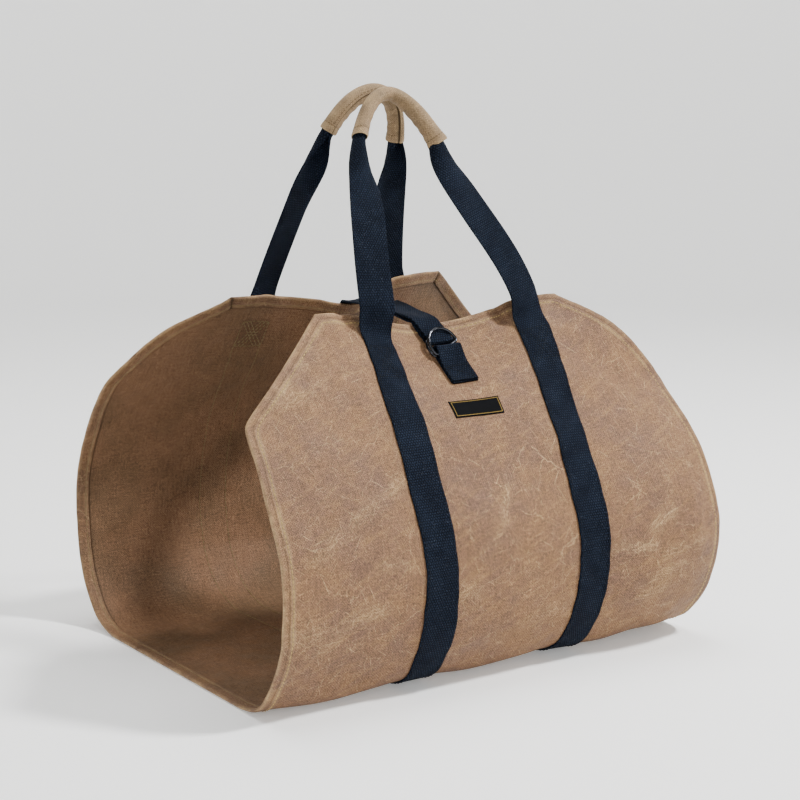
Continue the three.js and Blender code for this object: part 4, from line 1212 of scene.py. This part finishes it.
# a thin slab over the cloth, its edges rounded down and the woven line along its border raised
def wovenPatch():
    across = np.linspace(-0.5, 0.5, label["columns"])[None] * label["width"]
    down = np.linspace(-0.5, 0.5, label["rows"])[:, None] * label["height"]
    across, down = np.broadcast_arrays(across, down)
    edge = np.minimum(label["width"] / 2 - abs(across), label["height"] / 2 - abs(down))
    rounded = label["edgeShare"] + (1 - label["edgeShare"]) * ease(edge / label["edgeRound"])
    top = halfWall + label["thick"] * rounded
    top = top + label["borderRise"] * bell(edge - label["border"], label["borderWidth"])
    x = label["x"] + across
    s = label["below"] + down - halfGirth
    points = roundBoth(overCloth(x, s, top), overCloth(x, s, halfWall + label["gap"] + 0 * x))
    coords = np.stack([across, -down], -1)
    material = wovenLabel("woven_damask_label", labelLook, label)
    piece = putPiece("label_weave", points[None], material, roundBoth(coords, coords))
    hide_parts("label_patch")


wovenPatch()
print("label made")


# Stage, light and camera

stage = {"floor": "#f7f7f6", "glow": 0.27, "flat": 2.7, "turn": 0.8, "wall": 2.6, "columns": 96}  # metres


# pale paper all round: a level disc that turns up through a quarter circle into a wall
def paperSweep():
    turn = np.linspace(0, math.pi / 2, 16)
    bend = np.stack([stage["flat"] + stage["turn"] * np.sin(turn), stage["turn"] * (1 - np.cos(turn))], -1)
    outline = np.concatenate([bend, [(stage["flat"] + stage["turn"], stage["wall"])]])
    reach, height = outline[:, :1], outline[:, 1:]
    angle = np.arange(stage["columns"]) * 2 * math.pi / stage["columns"]
    points = np.stack(np.broadcast_arrays(reach * np.cos(angle), reach * np.sin(angle), height), -1)
    index = np.arange(points[..., 0].size).reshape(len(outline), -1)
    ahead = np.roll(index, -1, axis=1)
    faces = np.stack([index[:-1], ahead[:-1], ahead[1:], index[1:]], -1).reshape(-1, 4)[:, ::-1].tolist()
    faces.append(index[0].tolist())
    mesh = bpy.data.meshes.new("paper_sweep")
    mesh.from_pydata(points.reshape(-1, 3).tolist(), [], faces)
    mesh.polygons.foreach_set("use_smooth", np.ones(len(faces), bool))
    material, tree = newMaterial("white_backdrop_paper")  # matt white paper, no pattern
    shader = addNode(tree, "BsdfPrincipled", {
        "Base Color": linear(stage["floor"]), "Roughness": 0.9, "Specular IOR Level": 0.1,
        "Emission Color": linear(stage["floor"]), "Emission Strength": stage["glow"]})
    addNode(tree, "OutputMaterial", {"Surface": shader})
    mesh.materials.append(material)
    sweep = bpy.data.objects.new("paper_sweep", mesh)
    bpy.context.scene.collection.objects.link(sweep)


paperSweep()


# a lamp or camera at a place, its right and its top given by unit vectors
def putRig(name, data, right, upward, place):
    matrix = np.eye(4)
    matrix[:3] = np.stack([right, upward, np.cross(right, upward), place], -1)
    rig = bpy.data.objects.new(name, data)
    rig.matrix_world = Matrix(matrix.tolist())
    bpy.context.scene.collection.objects.link(rig)
    return rig


lamps = [
    {"name": "key_softbox", "place": (1.1, -1.1, 2.15), "aim": (0, 0, 0.22), "size": 0.3, "watts": 97},
    {"name": "fill_softbox", "place": (-1.7, -1.7, 1.1), "aim": (0, 0, 0.22), "size": 1.6, "watts": 2},
    {"name": "top_softbox", "place": (0.2, 0.4, 2.4), "aim": (0, 0, 0.22), "size": 1.8, "watts": 55},
]
for lamp in lamps:
    light = bpy.data.lights.new(lamp["name"], "AREA")
    light.energy = lamp["watts"]
    light.size = lamp["size"]
    back = unit(np.array(lamp["place"]) - np.array(lamp["aim"]))
    right = unit(np.cross([0, 0, 1], back))
    putRig(lamp["name"], light, right, np.cross(back, right), np.array(lamp["place"]))

world = bpy.data.worlds.new("studio")
bpy.context.scene.world = world
world.use_nodes = True
world.node_tree.nodes.clear()
glow = addNode(world.node_tree, "Background", {"Color": linear("#ffffff"), "Strength": 0.06})
addNode(world.node_tree, "OutputWorld", {"Surface": glow})

viewpoint = {"place": (-0.9098, -1.3456, 0.4923), "right": (0.825, -0.565, 0.0), "up": (0.090, 0.132, 0.987),
             "lens": 81.0, "sensor": 36.0, "shift": -0.0181}
lensData = bpy.data.cameras.new("photo_view")
lensData.lens = viewpoint["lens"]
lensData.sensor_width = viewpoint["sensor"]
lensData.shift_y = viewpoint["shift"]
right = unit(np.array(viewpoint["right"]))
upward = np.array(viewpoint["up"])
upward = unit(upward - right * (upward @ right))
bpy.context.scene.camera = putRig("photo_view", lensData, right, upward, np.array(viewpoint["place"]))
print("stage set")
